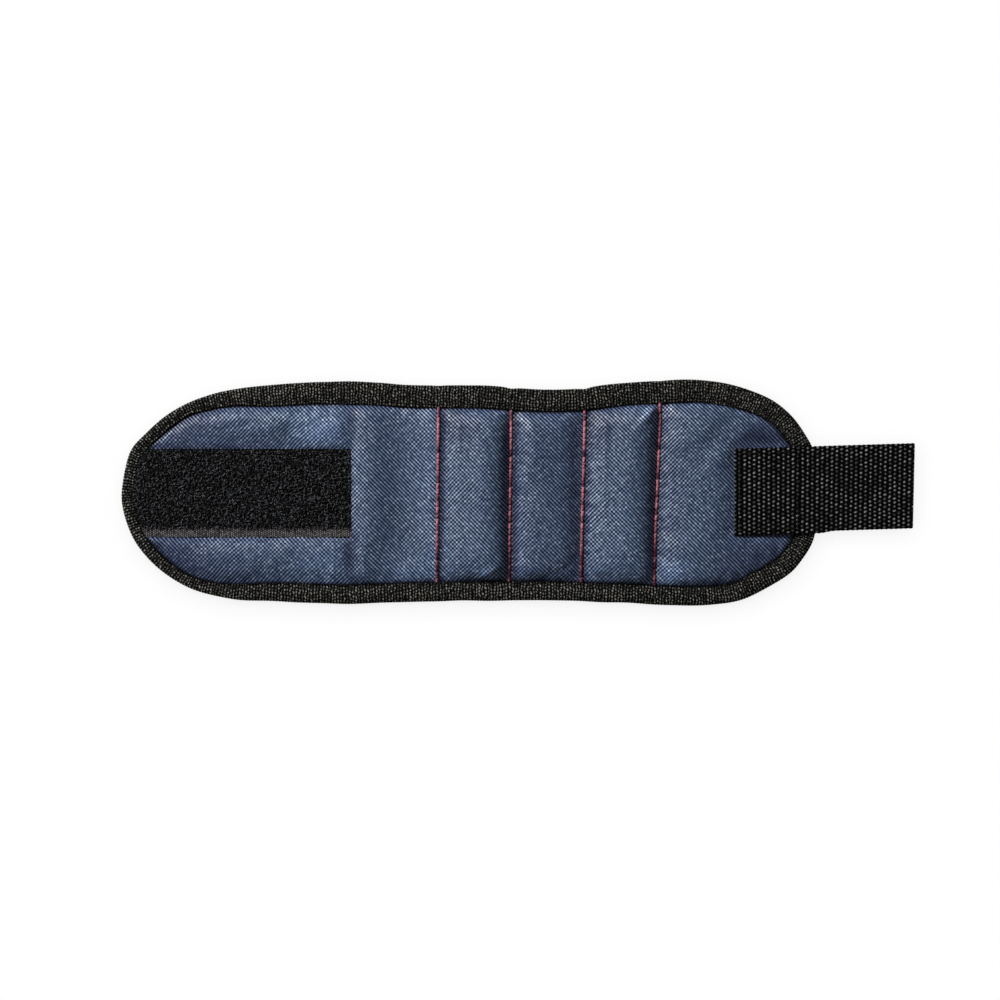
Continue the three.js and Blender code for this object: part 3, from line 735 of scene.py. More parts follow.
def raised_dots_group():
    """Dots where thick yarns cross over each other, in staggered lines."""
    inputs = {"Line pitch": 0.0021, "Dot pitch": 0.0017, "Dot width": 0.6, "Dot length": 0.8,
              "Wander": 0.0, "Scatter": 0.0}
    group, tree, given, out = new_group("raised dots", inputs, ["Dot", "Chance", "Fibre"])
    place = given["Cloth"]
    wander = (tree.noise(place, 420.0, 1.0) - 0.5) * given["Wander"]
    u = tree.axis(place, "X") / given["Line pitch"] + wander
    line = tree.math("FLOOR", u)
    own = tree.get("ShaderNodeTexWhiteNoise", "Value", {"W": line}, noise_dimensions="1D")
    stagger = line * 0.5 + own * given["Scatter"]
    v = tree.axis(place, "Y") / given["Dot pitch"] + stagger + wander
    across = (tree.math("FRACT", u) - 0.5) / given["Dot width"]
    along = (tree.math("FRACT", v) - 0.5) / given["Dot length"]
    gap = tree.math("SQRT", across ** 2.0 + along ** 2.0)
    tree.feed(out["Dot"], tree.ramp(gap, 0.75, 0.1))
    tree.feed(out["Chance"], tree.chance(tree.join(line, tree.math("FLOOR", v))))
    tree.feed(out["Fibre"], tree.noise(place, 2600.0, 1.0))
    return group


def handling_group():
    """Slow changes of tone over a cloth, from handling and dust."""
    group, tree, given, out = new_group("handling", {"Size": 40.0, "Amount": 0.15}, ["Tone"])
    spread = (tree.noise(given["Cloth"], given["Size"], 4.0, 0.6) - 0.5) * given["Amount"]
    tree.feed(out["Tone"], spread * 2.0 + 1.0)
    return group


PLAIN_WEAVE = plain_weave_group()
RAISED_DOTS = raised_dots_group()
HANDLING = handling_group()


def new_material(name):
    material = bpy.data.materials.new(name)
    material.use_nodes = True
    return material


class Finish(Tree):
    """A material with one principled shader, and the tree that feeds it."""

    def __init__(self, name, roughness=0.8, specular=0.25, metallic=0.0, coat_roughness=0.5, coat_ior=1.5):
        self.material = new_material(name)
        super().__init__(self.material.node_tree)
        shader = self.node("ShaderNodeBsdfPrincipled", {
            "Roughness": roughness, "Specular IOR Level": specular, "Metallic": metallic,
            "Coat Roughness": coat_roughness, "Coat IOR": coat_ior,
        })
        self.node("ShaderNodeOutputMaterial", {"Surface": Signal(self, shader.outputs["BSDF"])})
        self.inputs = shader.inputs

    def group(self, group, inputs):
        """The outputs of a group laid over the cloth's own plan."""
        place = self.get("ShaderNodeUVMap", "UV", uv_map="cloth")
        made = self.node("ShaderNodeGroup", {"Cloth": place, **inputs}, node_tree=group)
        return {socket.name: Signal(self, socket) for socket in made.outputs}

    def attribute(self, label):
        return self.get("ShaderNodeAttribute", "Fac", attribute_name=label)

    def place(self):
        return self.get("ShaderNodeTexCoord", "Object")

    def toned(self, colour, tone):
        """A colour made lighter or darker by a tone."""
        return self.get("ShaderNodeVectorMath", 0, {0: colour, "Scale": tone}, operation="SCALE")

    def finished(self, colour, height, distance, strength):
        """The material, with its colour and its relief."""
        bump = {"Height": height, "Distance": distance, "Strength": strength}
        self.feed(self.inputs["Base Color"], colour)
        self.feed(self.inputs["Normal"], self.get("ShaderNodeBump", "Normal", bump))
        return self.material


COAT_SHARE = 0.57           # of the sheen, on the lightest yarn


def front_cloth_finish():
    finish = Finish("front cloth", specular=0.2, coat_roughness=0.5, coat_ior=2.5)
    # The cloth's painted light: painted shade in its folds and hollows, painted highlights on a few folds; it scales
    # the colour and the coat
    crevice = finish.attribute("crevice")
    lean = finish.attribute("lean")
    weave = finish.group(PLAIN_WEAVE, {"Yarn pitch": YARN_PITCH * MM, "Lean": lean, "Uneven": 0.55})
    light = weave["Light"]
    coat = light * crevice * COAT_SHARE
    tone = finish.group(HANDLING, {"Size": 30.0, "Amount": 0.1})["Tone"]
    yarn = finish.mix_colour(light, (0.006, 0.011, 0.034, 1), (0.105, 0.169, 0.298, 1))
    # Painted glints: a few yarn crossings paler, as where they catch the light
    yarn = finish.mix_colour(weave["Worn"], yarn, (0.24, 0.315, 0.43, 1))
    # Painted shade also turns the colour towards navy
    shade_tint = finish.mix_colour(crevice, (0.97, 0.87, 1.2, 1), (0.99, 1.0, 0.99, 1))
    colour = {0: finish.toned(yarn, tone * crevice), 1: shade_tint}
    finish.feed(finish.inputs["Roughness"], finish.ramp(light, 0.0, 1.0, 1.0, 0.62))
    finish.feed(finish.inputs["Coat Weight"], coat)
    return finish.finished(finish.get("ShaderNodeVectorMath", 0, colour, operation="MULTIPLY"),
                           weave["Height"], 0.0001, 0.5)


def dotted_finish(name, dark, light, rough, patchy, line_pitch, dot_pitch, width, length, wander, scatter=0.0):
    """Heavy woven tape: pale dots on a dark ground, the dots a painted highlight where the raised yarns catch the
    light.
    """
    finish = Finish(name, roughness=rough, specular=0.03)
    dots = finish.group(RAISED_DOTS, {
        "Line pitch": line_pitch * MM, "Dot pitch": dot_pitch * MM, "Dot width": width, "Dot length": length,
        "Wander": wander, "Scatter": scatter,
    })
    dot, fibre = dots["Dot"], dots["Fibre"]
    dot_glint = dot ** 1.7 * finish.ramp(dots["Chance"], 0.0, 1.0, 0.15, 1.3) * finish.ramp(fibre, 0.35, 0.65, 0.35, 1.3)
    ground = dot ** 0.5 * finish.ramp(fibre, 0.3, 0.7, 0.02, 0.15)
    tone = finish.group(HANDLING, {"Size": 70.0, "Amount": patchy})["Tone"]
    lit = finish.math("MULTIPLY", dot_glint + ground, tone, clamp=True)
    # The piece's own mask darkens the tape: painted shade along an edge or under the pile, or a darker tone all over
    colour = finish.toned(finish.mix_colour(lit, dark, light), finish.attribute("crevice"))
    return finish.finished(colour, dot * 0.5, 0.0003, 0.7)


def air_mesh_finish():
    finish = Finish("air mesh", roughness=0.85, specular=0.08)
    holes = finish.group(RAISED_DOTS, {
        "Line pitch": HOLE_PITCH_X * MM, "Dot pitch": HOLE_PITCH_Y * MM,
        "Dot width": HOLE_WIDTH, "Dot length": HOLE_LENGTH,
    })
    knit = finish.mix_colour(holes["Dot"], (0.03, 0.031, 0.033, 1), (0.004, 0.004, 0.0045, 1))
    return finish.finished(finish.toned(knit, finish.ramp(holes["Fibre"], 0.3, 0.7, 0.6, 1.4)),
                           1.0 - holes["Dot"], 0.0005, 0.8)


def fibre_finish(name, dark, light, rough, grain, uneven, gloom):
    """Loose or twisted fibres: each one has its own shade, and the higher the gloom the fewer are light."""
    finish = Finish(name, roughness=rough, specular=0.08)
    fine = finish.noise(finish.place(), grain, 2.0)
    shade = finish.attribute("fibre_shade") + (fine - 0.5) * uneven
    spread = finish.ramp(shade, 0.0, 1.0, kind="LINEAR") ** gloom
    return finish.finished(finish.mix_colour(spread, dark, light), fine, 0.0001, 0.5)


def nickel_finish():
    finish = Finish("nickel plate", roughness=0.28, specular=0.5, metallic=1.0)
    cloud = finish.noise(finish.place(), 900.0, 5.0)
    finish.feed(finish.inputs["Roughness"], finish.ramp(cloud, 0.3, 0.7, 0.18, 0.42))
    colour = finish.mix_colour(cloud, (0.5, 0.5, 0.49, 1), (0.68, 0.67, 0.64, 1))
    return finish.finished(colour, cloud, 0.00003, 0.4)


def foam_finish():
    finish = Finish("carrier foam", roughness=0.9, specular=0.2)
    cells = finish.get("ShaderNodeTexVoronoi", "Distance", {"Vector": finish.place(), "Scale": 1400.0})
    edge = finish.ramp(cells, 0.1, 0.7)
    colour = finish.mix_colour(edge, (0.5, 0.49, 0.45, 1), (0.78, 0.77, 0.72, 1))
    return finish.finished(colour, edge, 0.0002, 0.7)


FRONT_CLOTH = front_cloth_finish()
AIR_MESH = air_mesh_finish()
EDGE_TAPE = dotted_finish("edge tape", (0.0012, 0.0012, 0.0011, 1), (0.255, 0.247, 0.224, 1), 0.8, 0.8,
                          RIB_PITCH, 1.4, 0.47, 0.7, 1.4, 0.9)
WEBBING = dotted_finish("webbing", (0.0007, 0.0007, 0.0007, 1), (0.27, 0.27, 0.265, 1), 0.75, 0.9,
                        WEFT_PITCH, PICK_PITCH, 0.49, 0.51, 0.5)
TAPE_BASE = dotted_finish("tape base", (0.01, 0.01, 0.0105, 1), (0.26, 0.235, 0.235, 1), 0.85, 0.6,
                          0.8, 0.9, 0.7, 0.8, 0.4)
RED_THREAD = fibre_finish("red thread", (0.05, 0.006, 0.016, 1), (0.6, 0.22, 0.265, 1), 0.5, 1500.0, 1.8, 1.5)
BLACK_THREAD = fibre_finish("black thread", (0.002, 0.002, 0.002, 1), (0.012, 0.012, 0.012, 1),
                            0.7, 3000.0, 0.8, 1.0)
PILE = fibre_finish("loop pile", (0.0095, 0.0097, 0.0105, 1), (0.112, 0.115, 0.125, 1), 0.7, 3000.0, 1.3, 1.75)
HOOKS = fibre_finish("hooks", (0.005, 0.005, 0.005, 1), (0.03, 0.03, 0.03, 1), 0.35, 3000.0, 0.8, 1.0)
NICKEL = nickel_finish()
FOAM = foam_finish()


# What repeats: stitches, loops and hooks, set on points by geometry nodes

def strand_curve(tree, given, kind):
    """The middle line of one stitch, loop or hook, along X from the middle, with Z up."""
    length, height, half = given["Length"], given["Height"], given["Length"] * 0.5
    if kind == "twist":
        radius = given["Thickness"] * 0.5
        spiral = tree.get("GeometryNodeCurveSpiral", 0, {
            "Resolution": 8, "Rotations": 1.5, "Height": length, "Start Radius": radius, "End Radius": radius,
            "Reverse": False,
        })
        laid = tree.get("GeometryNodeTransform", 0, {
            "Geometry": spiral, "Rotation": (0, math.pi / 2, 0), "Translation": tree.join(length * -0.5),
        })
        turned = tree.get("GeometryNodeTransform", 0, {"Geometry": laid, "Rotation": (math.pi, 0, 0)})
        both = tree.node("GeometryNodeJoinGeometry")
        tree.feed(both.inputs[0], laid)
        tree.feed(both.inputs[0], turned)
        return Signal(tree, both.outputs[0])
    lift = height * 1.33
    if kind == "arch":
        first, second, end = (half * -1.2, lift), (half * 1.2, lift), (half, None)
    else:
        first, second, end = (half * -1.0, lift), (half, lift), (half * 0.8, height * 0.45)
    return tree.get("GeometryNodeCurvePrimitiveBezierSegment", 0, {
        "Resolution": 6, "Start": tree.join(half * -1.0), "End": tree.join(end[0], z=end[1]),
        "Start Handle": tree.join(first[0], z=first[1]), "End Handle": tree.join(second[0], z=second[1]),
    })


def strand_tree(name, kind, sides):
    """Sets a strand on every point, turned and scaled by the point's own values, each with its shade."""
    group = bpy.data.node_groups.new(name, "GeometryNodeTree")
    kinds = {"Geometry": "NodeSocketGeometry", "Length": FLOAT, "Height": FLOAT, "Thickness": FLOAT,
             "Seed": "NodeSocketInt", "Finish": "NodeSocketMaterial"}
    for label, socket_type in kinds.items():
        group.interface.new_socket(name=label, in_out="INPUT", socket_type=socket_type)
    group.interface.new_socket(name="Geometry", in_out="OUTPUT", socket_type="NodeSocketGeometry")
    tree = Tree(group)
    sockets = tree.node("NodeGroupInput").outputs
    given = {label: Signal(tree, sockets[label]) for label in kinds}
    ring = tree.get("GeometryNodeCurvePrimitiveCircle", "Curve", {
        "Resolution": sides, "Radius": given["Thickness"] * 0.5,
    })
    strand = tree.get("GeometryNodeCurveToMesh", 0, {
        "Curve": strand_curve(tree, given, kind), "Profile Curve": ring, "Fill Caps": True,
    })
    if kind == "twist":
        share = tree.axis(tree.get("GeometryNodeInputPosition", 0), "X") / (given["Length"] * 0.5)
        drop = tree.join(z=share ** 4.0 * (given["Height"] * -1.0))
        strand = tree.get("GeometryNodeSetPosition", 0, {"Geometry": strand, "Offset": drop})
    turn, size = (tree.get("GeometryNodeInputNamedAttribute", "Attribute", {"Name": label}, data_type=data_type)
                  for label, data_type in (("turn", "FLOAT_VECTOR"), ("size", "FLOAT")))
    spread = tree.get("GeometryNodeInstanceOnPoints", 0, {
        "Points": given["Geometry"], "Instance": strand, "Rotation": turn, "Scale": size,
    })
    chance = tree.get("FunctionNodeRandomValue", 1, {"Seed": given["Seed"]}, data_type="FLOAT")
    shaded = tree.get("GeometryNodeStoreNamedAttribute", 0, {
        "Geometry": spread, "Name": "fibre_shade", "Value": chance,
    }, data_type="FLOAT", domain="INSTANCE")
    whole = tree.get("GeometryNodeRealizeInstances", 0, {"Geometry": shaded})
    soft = tree.get("GeometryNodeSetShadeSmooth", 0, {"Geometry": whole})
    dressed = tree.get("GeometryNodeSetMaterial", 0, {"Geometry": soft, "Material": given["Finish"]})
    tree.node("NodeGroupOutput", {0: dressed})
    return group


# Each kind of strand: its tree, its finish, and its length, height and thickness

PLAIN_STITCH = strand_tree("plain stitch", "arch", 5)
RED_STITCH = (strand_tree("twisted stitch", "twist", 5), RED_THREAD, 2.65, 0.7, 0.7)
EDGE_STITCH = (PLAIN_STITCH, BLACK_THREAD, 2.3, 0.22, 0.34)
STRAP_STITCH = (PLAIN_STITCH, BLACK_THREAD, 2.4, 0.3, 0.4)
PILE_LOOP = (strand_tree("pile loop", "arch", 4), PILE, 0.85, 0.96, 0.28)
HOOK = (strand_tree("hook", "hook", 4), HOOKS, 0.7, 0.8, 0.22)


def strands(name, kind, points, turns, sizes=None):
    """One mesh of strands of a kind, set on points."""
    group, material, length, height, thickness = kind
    mesh = bpy.data.meshes.new(name + "_points")
    mesh.vertices.add(len(points))
    mesh.vertices.foreach_set("co", flat(points, MM))
    mesh.attributes.new("turn", "FLOAT_VECTOR", "POINT").data.foreach_set("vector", flat(turns))
    shares = np.ones(len(points)) if sizes is None else sizes
    mesh.attributes.new("size", "FLOAT", "POINT").data.foreach_set("value", flat(shares))
    holder = add_object(name + "_points", mesh)
    modifier = holder.modifiers.new("strands", "NODES")
    modifier.node_group = group
    values = {"Length": length * MM, "Height": height * MM, "Thickness": thickness * MM,
              "Seed": RANDOM_SEED, "Finish": material}
    for item in group.interface.items_tree:
        if item.in_out == "INPUT" and item.name in values:
            modifier[item.identifier] = values[item.name]
    shaped = holder.evaluated_get(bpy.context.evaluated_depsgraph_get())
    made = bpy.data.meshes.new_from_object(shaped)
    bpy.data.objects.remove(holder)
    made.name = name
    return add_object(name, made)


def stitches_along(line, pitch):
    """Middles and turns of stitches laid end to end along a line of points."""
    along = np.concatenate([[0], np.cumsum(np.linalg.norm(np.diff(line, axis=0), axis=1))])
    count = max(1, int(round(along[-1] / pitch)))
    places = (np.arange(count) + 0.5) * along[-1] / count
    way = line_at(line, along, places + 0.4) - line_at(line, along, places - 0.4)
    way /= np.linalg.norm(way, axis=1)[:, None]
    turns = joined(0.0, -np.arcsin(way[:, 2]), np.arctan2(way[:, 1], way[:, 0]))
    return line_at(line, along, places), turns


# Pieces: their place baked into the mesh, and the nodes that they stand for hidden

def dress(piece, fold, nodes=()):
    """Bakes a piece's place into its mesh, and hides the nodes that it stands for."""
    bend(piece, fold)
    if nodes:
        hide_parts(*nodes)


def declare_sheet(piece, plan):
    """Works out the size and the steps of a flat piece's plan, and keeps none of them."""
    size = plan.reshape(-1, 2).max(axis=0) - plan.reshape(-1, 2).min(axis=0)
    steps_x = np.diff(plan[:, :, 0], axis=0)[:, :-1]
    steps_y = np.diff(plan[:, :, 1], axis=1)[:-1, :]


def layer_pieces(name, node, cuts, grids, material, attributes):
    """A layer of the band, in one piece over each fold between panels: each piece and its plan."""
    for k in range(PANEL_FOLDS):
        part = slice(cuts[k], cuts[k + 1] + 1)
        upper, lower, plan = (grid[part] for grid in grids)
        values = {label: grid[part] for label, grid in attributes.items()}
        piece = shell(f"{name}_{FOLD_NAMES[k]}", upper, lower, plan, material, values)
        left, right = (panel_name(body) for body in fold_panels(k))
        panels = [left, right] if k == PANEL_FOLDS - 1 else [left]
        dress(piece, k, [f"{node}_{panel}" for panel in panels])
        yield piece, plan


# Front cloth

CLOTH_STEP = 0.75
CLOTH_ROWS = 128
LOOSE_STEP = 2.3
LOOSE_ROWS = 44
CLOTH_INSET = 2.0


def settled_cloth(x, y, depth):
    """The upper face of the front cloth over its plan, after it has settled."""
    z = cloth_top(x, y, depth)
    loose_x, loose_y, _ = sheet_plan(CLOTH_INSET, LOOSE_STEP, LOOSE_ROWS)
    loose_depth = depth_inside(loose_x, loose_y)
    loose_z = cloth_top(loose_x, loose_y, loose_depth)
    moved = settled(loose_x, loose_y, loose_z, held_down(loose_x, loose_y, loose_depth))
    along = np.interp(x[:, 0], loose_x[:, 0], np.arange(len(loose_x)))
    move = resample(moved, along, np.linspace(0, LOOSE_ROWS - 1, CLOTH_ROWS))
    x = x + move[:, :, 0]
    y = y + move[:, :, 1]
    return x, y, kept_over(z + move[:, :, 2], over_carriers(x, y))


def lean_of(x, y, z, plan_x, plan_y):
    """Which diagonal of the weave shows, as painted light: rising lines on slopes that face the window on the left,
    falling ones elsewhere.
    """
    slope_x = np.gradient(z, axis=0) / np.maximum(np.gradient(x, axis=0), 0.05)
    slope_y = np.gradient(z, axis=1) / np.maximum(np.gradient(y, axis=1), 0.05)
    wander = 0.5 * soft_noise(plan_x, plan_y, 11, 21) + 0.25 * soft_noise(plan_x, plan_y, 5, 22)
    field = 0.5 * smooth((PATCH_END_X + 1 - plan_x) / 4) * smooth((plan_x - TIP_X - 25) / 20)
    return np.clip(1.1 * slope_x + 0.7 * slope_y - 0.37 + field + 0.7 * wander, -0.65, 0.65)


# Painted shade on the cloth: in each row, in the fold on the right of it, all over the sunken pocket, and along the
# loop tape's upper edge
ROW_PAINTED_SHADE = (0.1, 0.35, 0.35, 0.35)
FOLD_PAINTED_SHADE = (0.5, 0.7, 0.62, 0.35)
SUNKEN_POCKET_PAINTED_SHADE = 0.18
TAPE_EDGE_PAINTED_SHADE = 0.6

# Painted shade in hollows and painted highlights on folds: middle x and y, half sizes, and the change of tone
PAINTED_LIGHT_SPOTS = [
    (109.0, 24.0, 13.0, 6.5, -0.65),
    (109.0, -31.0, 20.0, 15.0, -0.5),
    (-157.0, -32.0, 30.0, 20.0, -0.5),
    (-150.0, 31.0, 16.0, 10.0, -0.5),
    (-120.0, 22.5, 30.0, 4.5, -0.2),
    (-57.0, 0.0, 9.0, 50.0, -0.15),
    (66.0, 10.0, 8.0, 60.0, -0.12),
    (-141.0, 33.5, 9.0, 4.0, -0.35),
    (-72.5, -27.0, 4.0, 15.0, -0.62),
    (-71.5, 33.0, 3.5, 14.0, -0.35),
    (-27.0, 30.0, 7.5, 11.0, -0.4),
    (35.0, 30.0, 7.0, 11.0, -0.42),
    (-85.0, 25.0, 10.0, 8.0, 1.1),
    (-84.0, -31.0, 12.0, 6.0, 0.4),
    (-39.0, 0.0, 6.0, 60.0, 0.2),
    (57.0, 33.5, 4.0, 5.0, 0.7),
    (-14.0, -35.2, 4.0, 2.5, 0.5),
    (-48.0, -33.5, 6.0, 4.0, 0.35),
    (66.5, -34.5, 7.0, 5.0, 0.9),
    (-35.0, -30.0, 2.5, 11.0, 0.9),
]


def painted_light_at(x, y, depth):
    """Painted light on the front cloth: 1 in the open, near 0 for painted shade deep in a fold, above 1 for a painted
    highlight.
    """
    # Painted shade where the cloth goes in under the edge tape
    open_share = 0.06 + 0.94 * smooth((depth - 0.1) / 1.2)
    for k in range(4):
        past = x - row_place(k, y)
        open_share = open_share * (1 - FOLD_PAINTED_SHADE[k] * hump(past - 1.7, 1.5)) * (1 - ROW_PAINTED_SHADE[k] * hump(past, 0.8))
    for mid_x, mid_y, half_x, half_y, change in PAINTED_LIGHT_SPOTS:
        open_share = open_share * (1 + change * hump(np.hypot((x - mid_x) / half_x, (y - mid_y) / half_y), 1))
    # Painted shade along the upper edge of the loop tape, towards the tip
    under_tape = hump(y - HALF_TAPE, 2.0) * smooth((PATCH_END_X - 22 - x) / 30)
    sunken = smooth((x - row_place(1, y) + 1) / 3) * smooth((row_place(2, y) - x + 1) / 3)
    return open_share * (1 - TAPE_EDGE_PAINTED_SHADE * under_tape) * (1 - SUNKEN_POCKET_PAINTED_SHADE * sunken)


def build_front_cloth():
    plan_x, plan_y, cuts = sheet_plan(CLOTH_INSET, CLOTH_STEP, CLOTH_ROWS)
    depth = depth_inside(plan_x, plan_y)
    x, y, z = settled_cloth(plan_x, plan_y, depth)
    grids = joined(x, y, z), joined(x, y, z - CLOTH_THICKNESS), joined(plan_x, plan_y)
    painted = {"lean": lean_of(x, y, z, plan_x, plan_y), "crevice": painted_light_at(plan_x, plan_y, depth)}
    for piece, plan in layer_pieces("front_cloth", "cover", cuts, grids, FRONT_CLOTH, painted):
        declare_sheet(piece, plan)
    return x, y, z


# Lining

LINING_STEP = 0.8
LINING_ROWS = 118
LINING_INSET = 1.0


def staggered_dots(x, y, line_pitch, dot_pitch, width, length):
    """The dots of a material, as heights: 1 in the middle of a dot and 0 between the dots."""
    line = np.floor(x / line_pitch)
    across = x / line_pitch - line - 0.5
    v = y / dot_pitch + 0.5 * line
    along = v - np.floor(v) - 0.5
    return smooth((0.75 - np.hypot(across / width, along / length)) / 0.65)


def build_lining():
    x, y, cuts = sheet_plan(LINING_INSET, LINING_STEP, LINING_ROWS)
    depth = depth_inside(x, y)
    puff = roll(depth / 6) * roll(from_rows(x, y) / 8.6)
    top = LINING_SEWN_TOP + (LINING_THICKNESS - LINING_SEWN_TOP) * puff
    front = cloth_top(x, y, depth) - CLOTH_THICKNESS - 0.1
    top = np.where(depth > 0, np.minimum(top, np.maximum(front, LINING_SEWN_UNDER + 0.4)), top)
    holes = staggered_dots(x, y, HOLE_PITCH_X, HOLE_PITCH_Y, HOLE_WIDTH, HOLE_LENGTH)
    under = np.maximum(0, LINING_SEWN_UNDER - 1.5 * puff) + HOLE_DEPTH * holes * smooth(depth / 2)
    grids = joined(x, y, top), joined(x, y, np.minimum(under, top - 0.3)), joined(x, y)
    for piece, _ in layer_pieces("lining_pad", "lining", cuts, grids, AIR_MESH, {}):
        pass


# Edge tape

BINDING_SEAM_INSET = 1.7
BINDING_TURN = 1.1          # how far in from the outline the tape starts to turn down
SEAM_PITCH = 3.0
FACE_SHARES = np.linspace(0, 1, 12)
TURN_DEGREES = (70, 50, 30, 10, -10, -30, -50, -70)
ROW_NOTCHES = ((1, 1.0), (2, 1.0), (0, 0.35), (3, 0.35))


def binding_sections():
    """The outer and inner skin of the folded tape round the whole outline, its plan, and its reach."""
    count = len(OUTLINE)
    along = np.arange(count) * OUTLINE_STEP
    x, y = OUTLINE.T
    notch = np.zeros(count)
    for k, share in ROW_NOTCHES:
        notch += share * hump(x - row_place(k, y), 2.2) * (y > 0)
    lap = hump(np.hypot(x + 159.5, y - 18.5), 2.8)
    fat = 0.45 + 0.22 * soft_noise(x, y, 17, 31) - 0.75 * notch - 1.1 * lap
    fat = np.where((np.abs(y) < HALF_TAPE + 3) & (x > 60), 0.0, fat)
    edge_in = 0.25 * soft_noise(x, y, 12, 32) + 0.45 * notch
    reach = REACH + 0.35 * soft_noise(x, y, 15, 33)
    lip = BINDING_TOP - 0.25 + 0.15 * soft_noise(x, y, 10, 34)
    rib = 0.09 * np.cos(2 * math.pi * along / RIB_PITCH) * (0.7 + 0.3 * soft_noise(x, y, 4, 35))
    seam = reach - BINDING_SEAM_INSET
    distance = []
    height = []
    for share in FACE_SHARES:
        at = mix(reach, BINDING_TURN, share)
        past_seam = np.clip((seam - at) / np.maximum(seam - 0.4, 1), 0, 1)
        crown = BINDING_TOP + fat * np.sin(past_seam * math.pi) ** 0.7
        pressed = BINDING_TOP - 0.4 + 0.25 * smooth(np.abs(at - seam))
        lips = mix(pressed, lip, smooth((at - seam) / 1.2))
        distance.append(at)
        height.append(np.where(at < seam, np.maximum(crown - 0.15, pressed), lips))
    half = BINDING_TOP / 2
    for degrees in TURN_DEGREES:
        turn = math.radians(degrees)
        distance.append(np.full(count, BINDING_TURN - BINDING_TURN * math.cos(turn)))
        height.append(np.full(count, half + half * math.sin(turn)))
    for share in FACE_SHARES[::-1]:
        distance.append(mix(reach, BINDING_TURN, share))
        height.append(np.zeros(count))
    distance = np.array(distance).T
    height = np.array(height).T
    along_d = np.gradient(distance, axis=1)
    along_z = np.gradient(height, axis=1)
    size = np.hypot(along_d, along_z)
    flip = np.where(along_d[:, :1] < 0, -1.0, 1.0)
    out_d = -along_z / size * flip
    out_z = along_d / size * flip
    lift = rib[:, None] * (height > 0.2)

    def place(d, z):
        xy = OUTLINE[:, None, :] + INWARD[:, None, :] * d[:, :, None]
        return np.concatenate([xy, z[:, :, None]], axis=2)

    outer = place(distance + out_d * lift + edge_in[:, None] * hump(distance - 0.5, 2.5), height + out_z * lift)
    inner = place(distance - out_d * BINDING_THICKNESS, height - out_z * BINDING_THICKNESS)
    steps = np.hypot(np.diff(distance, axis=1), np.diff(height, axis=1))
    width = np.concatenate([np.zeros((count, 1)), np.cumsum(steps, axis=1)], axis=1)
    return outer, inner, joined(along[:, None], width), reach


def outline_crossing(x, side):
    """The outline's sample nearest to a place along the band, on its upper or lower side."""
    on_side = OUTLINE[:, 1] * side > 0
    return int(np.argmin(np.where(on_side, np.abs(OUTLINE[:, 0] - x), 1e9)))


def binding_parts():
    """Each part of the edge tape: its name, its fold, its samples of the outline and its nodes."""
    upper = [outline_crossing(x, 1) for x in MIDDLES]
    lower = [outline_crossing(x, -1) for x in MIDDLES]
    yield "tip", 0, np.arange(upper[0], lower[0] + 1), ["binding_loop_tip"]
    for k in range(1, PANEL_FOLDS - 1):
        panel = panel_name(fold_panels(k)[0])
        yield f"upper_{FOLD_NAMES[k]}", k, np.arange(upper[k], upper[k - 1] + 1), ["binding_upper_" + panel]
        yield f"lower_{FOLD_NAMES[k]}", k, np.arange(lower[k - 1], lower[k] + 1), ["binding_lower_" + panel]
    last = np.arange(lower[-1], upper[-1] + len(OUTLINE) + 1) % len(OUTLINE)
    yield "strap_end", PANEL_FOLDS - 1, last, ["binding_upper_flank", "binding_lower_flank", "binding_strap_end"]


def build_edge_tape():
    outer, inner, uv, reach = binding_sections()
    seam_x, seam_y = (OUTLINE + INWARD * (reach - BINDING_SEAM_INSET)[:, None]).T
    seam = joined(seam_x, seam_y, BINDING_TOP - 0.3)
    for label, fold, samples, nodes in binding_parts():
        plan = uv[samples]
        plan[:, :, 0] = plan[0, 0, 0] + (np.arange(len(samples)) * OUTLINE_STEP)[:, None]
        # Painted shade along the tape's inner edge, where it meets the cloth
        crevice = smooth((plan[:, :, 1] - 0.2) / 0.7)
        piece = shell("edge_tape_" + label, outer[samples], inner[samples], plan, EDGE_TAPE, {"crevice": crevice})
        dress(piece, fold, nodes)
        thread = strands("edge_seam_" + label, EDGE_STITCH, *stitches_along(seam[samples], SEAM_PITCH))
        dress(thread, fold)


# Red rows

ROW_STITCH_PITCH = 2.6
STITCH_LIFT = 0.42          # from the cloth to the middle of a stitch


def heights_on(surface, px, py):
    """The settled cloth's height at places on it."""
    x, y, z = surface
    columns = np.interp(px, x[:, x.shape[1] // 2], np.arange(len(x)))
    found = []
    for column, across in zip(columns, py):
        i = min(int(column), len(x) - 2)
        found.append(mix(np.interp(across, y[i], z[i]), np.interp(across, y[i + 1], z[i + 1]), column - i))
    return np.array(found)


def build_red_rows(surface):
    """The stitches of each row, on the front cloth and under the lining."""
    across = np.linspace(42, -42, 169)
    for k, fold in enumerate(ROW_FOLDS):
        ys = across[depth_inside(row_place(k, across), across) > -1.0]
        xs = row_place(k, ys)
        front, front_turns = stitches_along(joined(xs, ys, heights_on(surface, xs, ys) + STITCH_LIFT), ROW_STITCH_PITCH)
        back, back_turns = stitches_along(joined(xs, ys, LINING_SEWN_UNDER - 0.15), ROW_STITCH_PITCH)
        points = np.concatenate([front, back])
        turns = np.concatenate([front_turns, back_turns + np.array([math.pi, 0, 0])])
        rng = np.random.default_rng(RANDOM_SEED + k)
        turns[:, 2] += rng.normal(0, 0.035, len(turns))
        thread = strands(f"red_row_{k + 1}", RED_STITCH, points, turns, rng.uniform(0.93, 1.04, len(points)))
        dress(thread, fold)


# Loop tape

LOOP_PITCH = 0.95
LOOP_SCATTER = 0.42
LOWER_SELVAGE = 3.7
TAPE_THICKNESS = 0.6
TAPE_TIP_INSET = 4.0        # how far in from the outline the tape ends at the tip


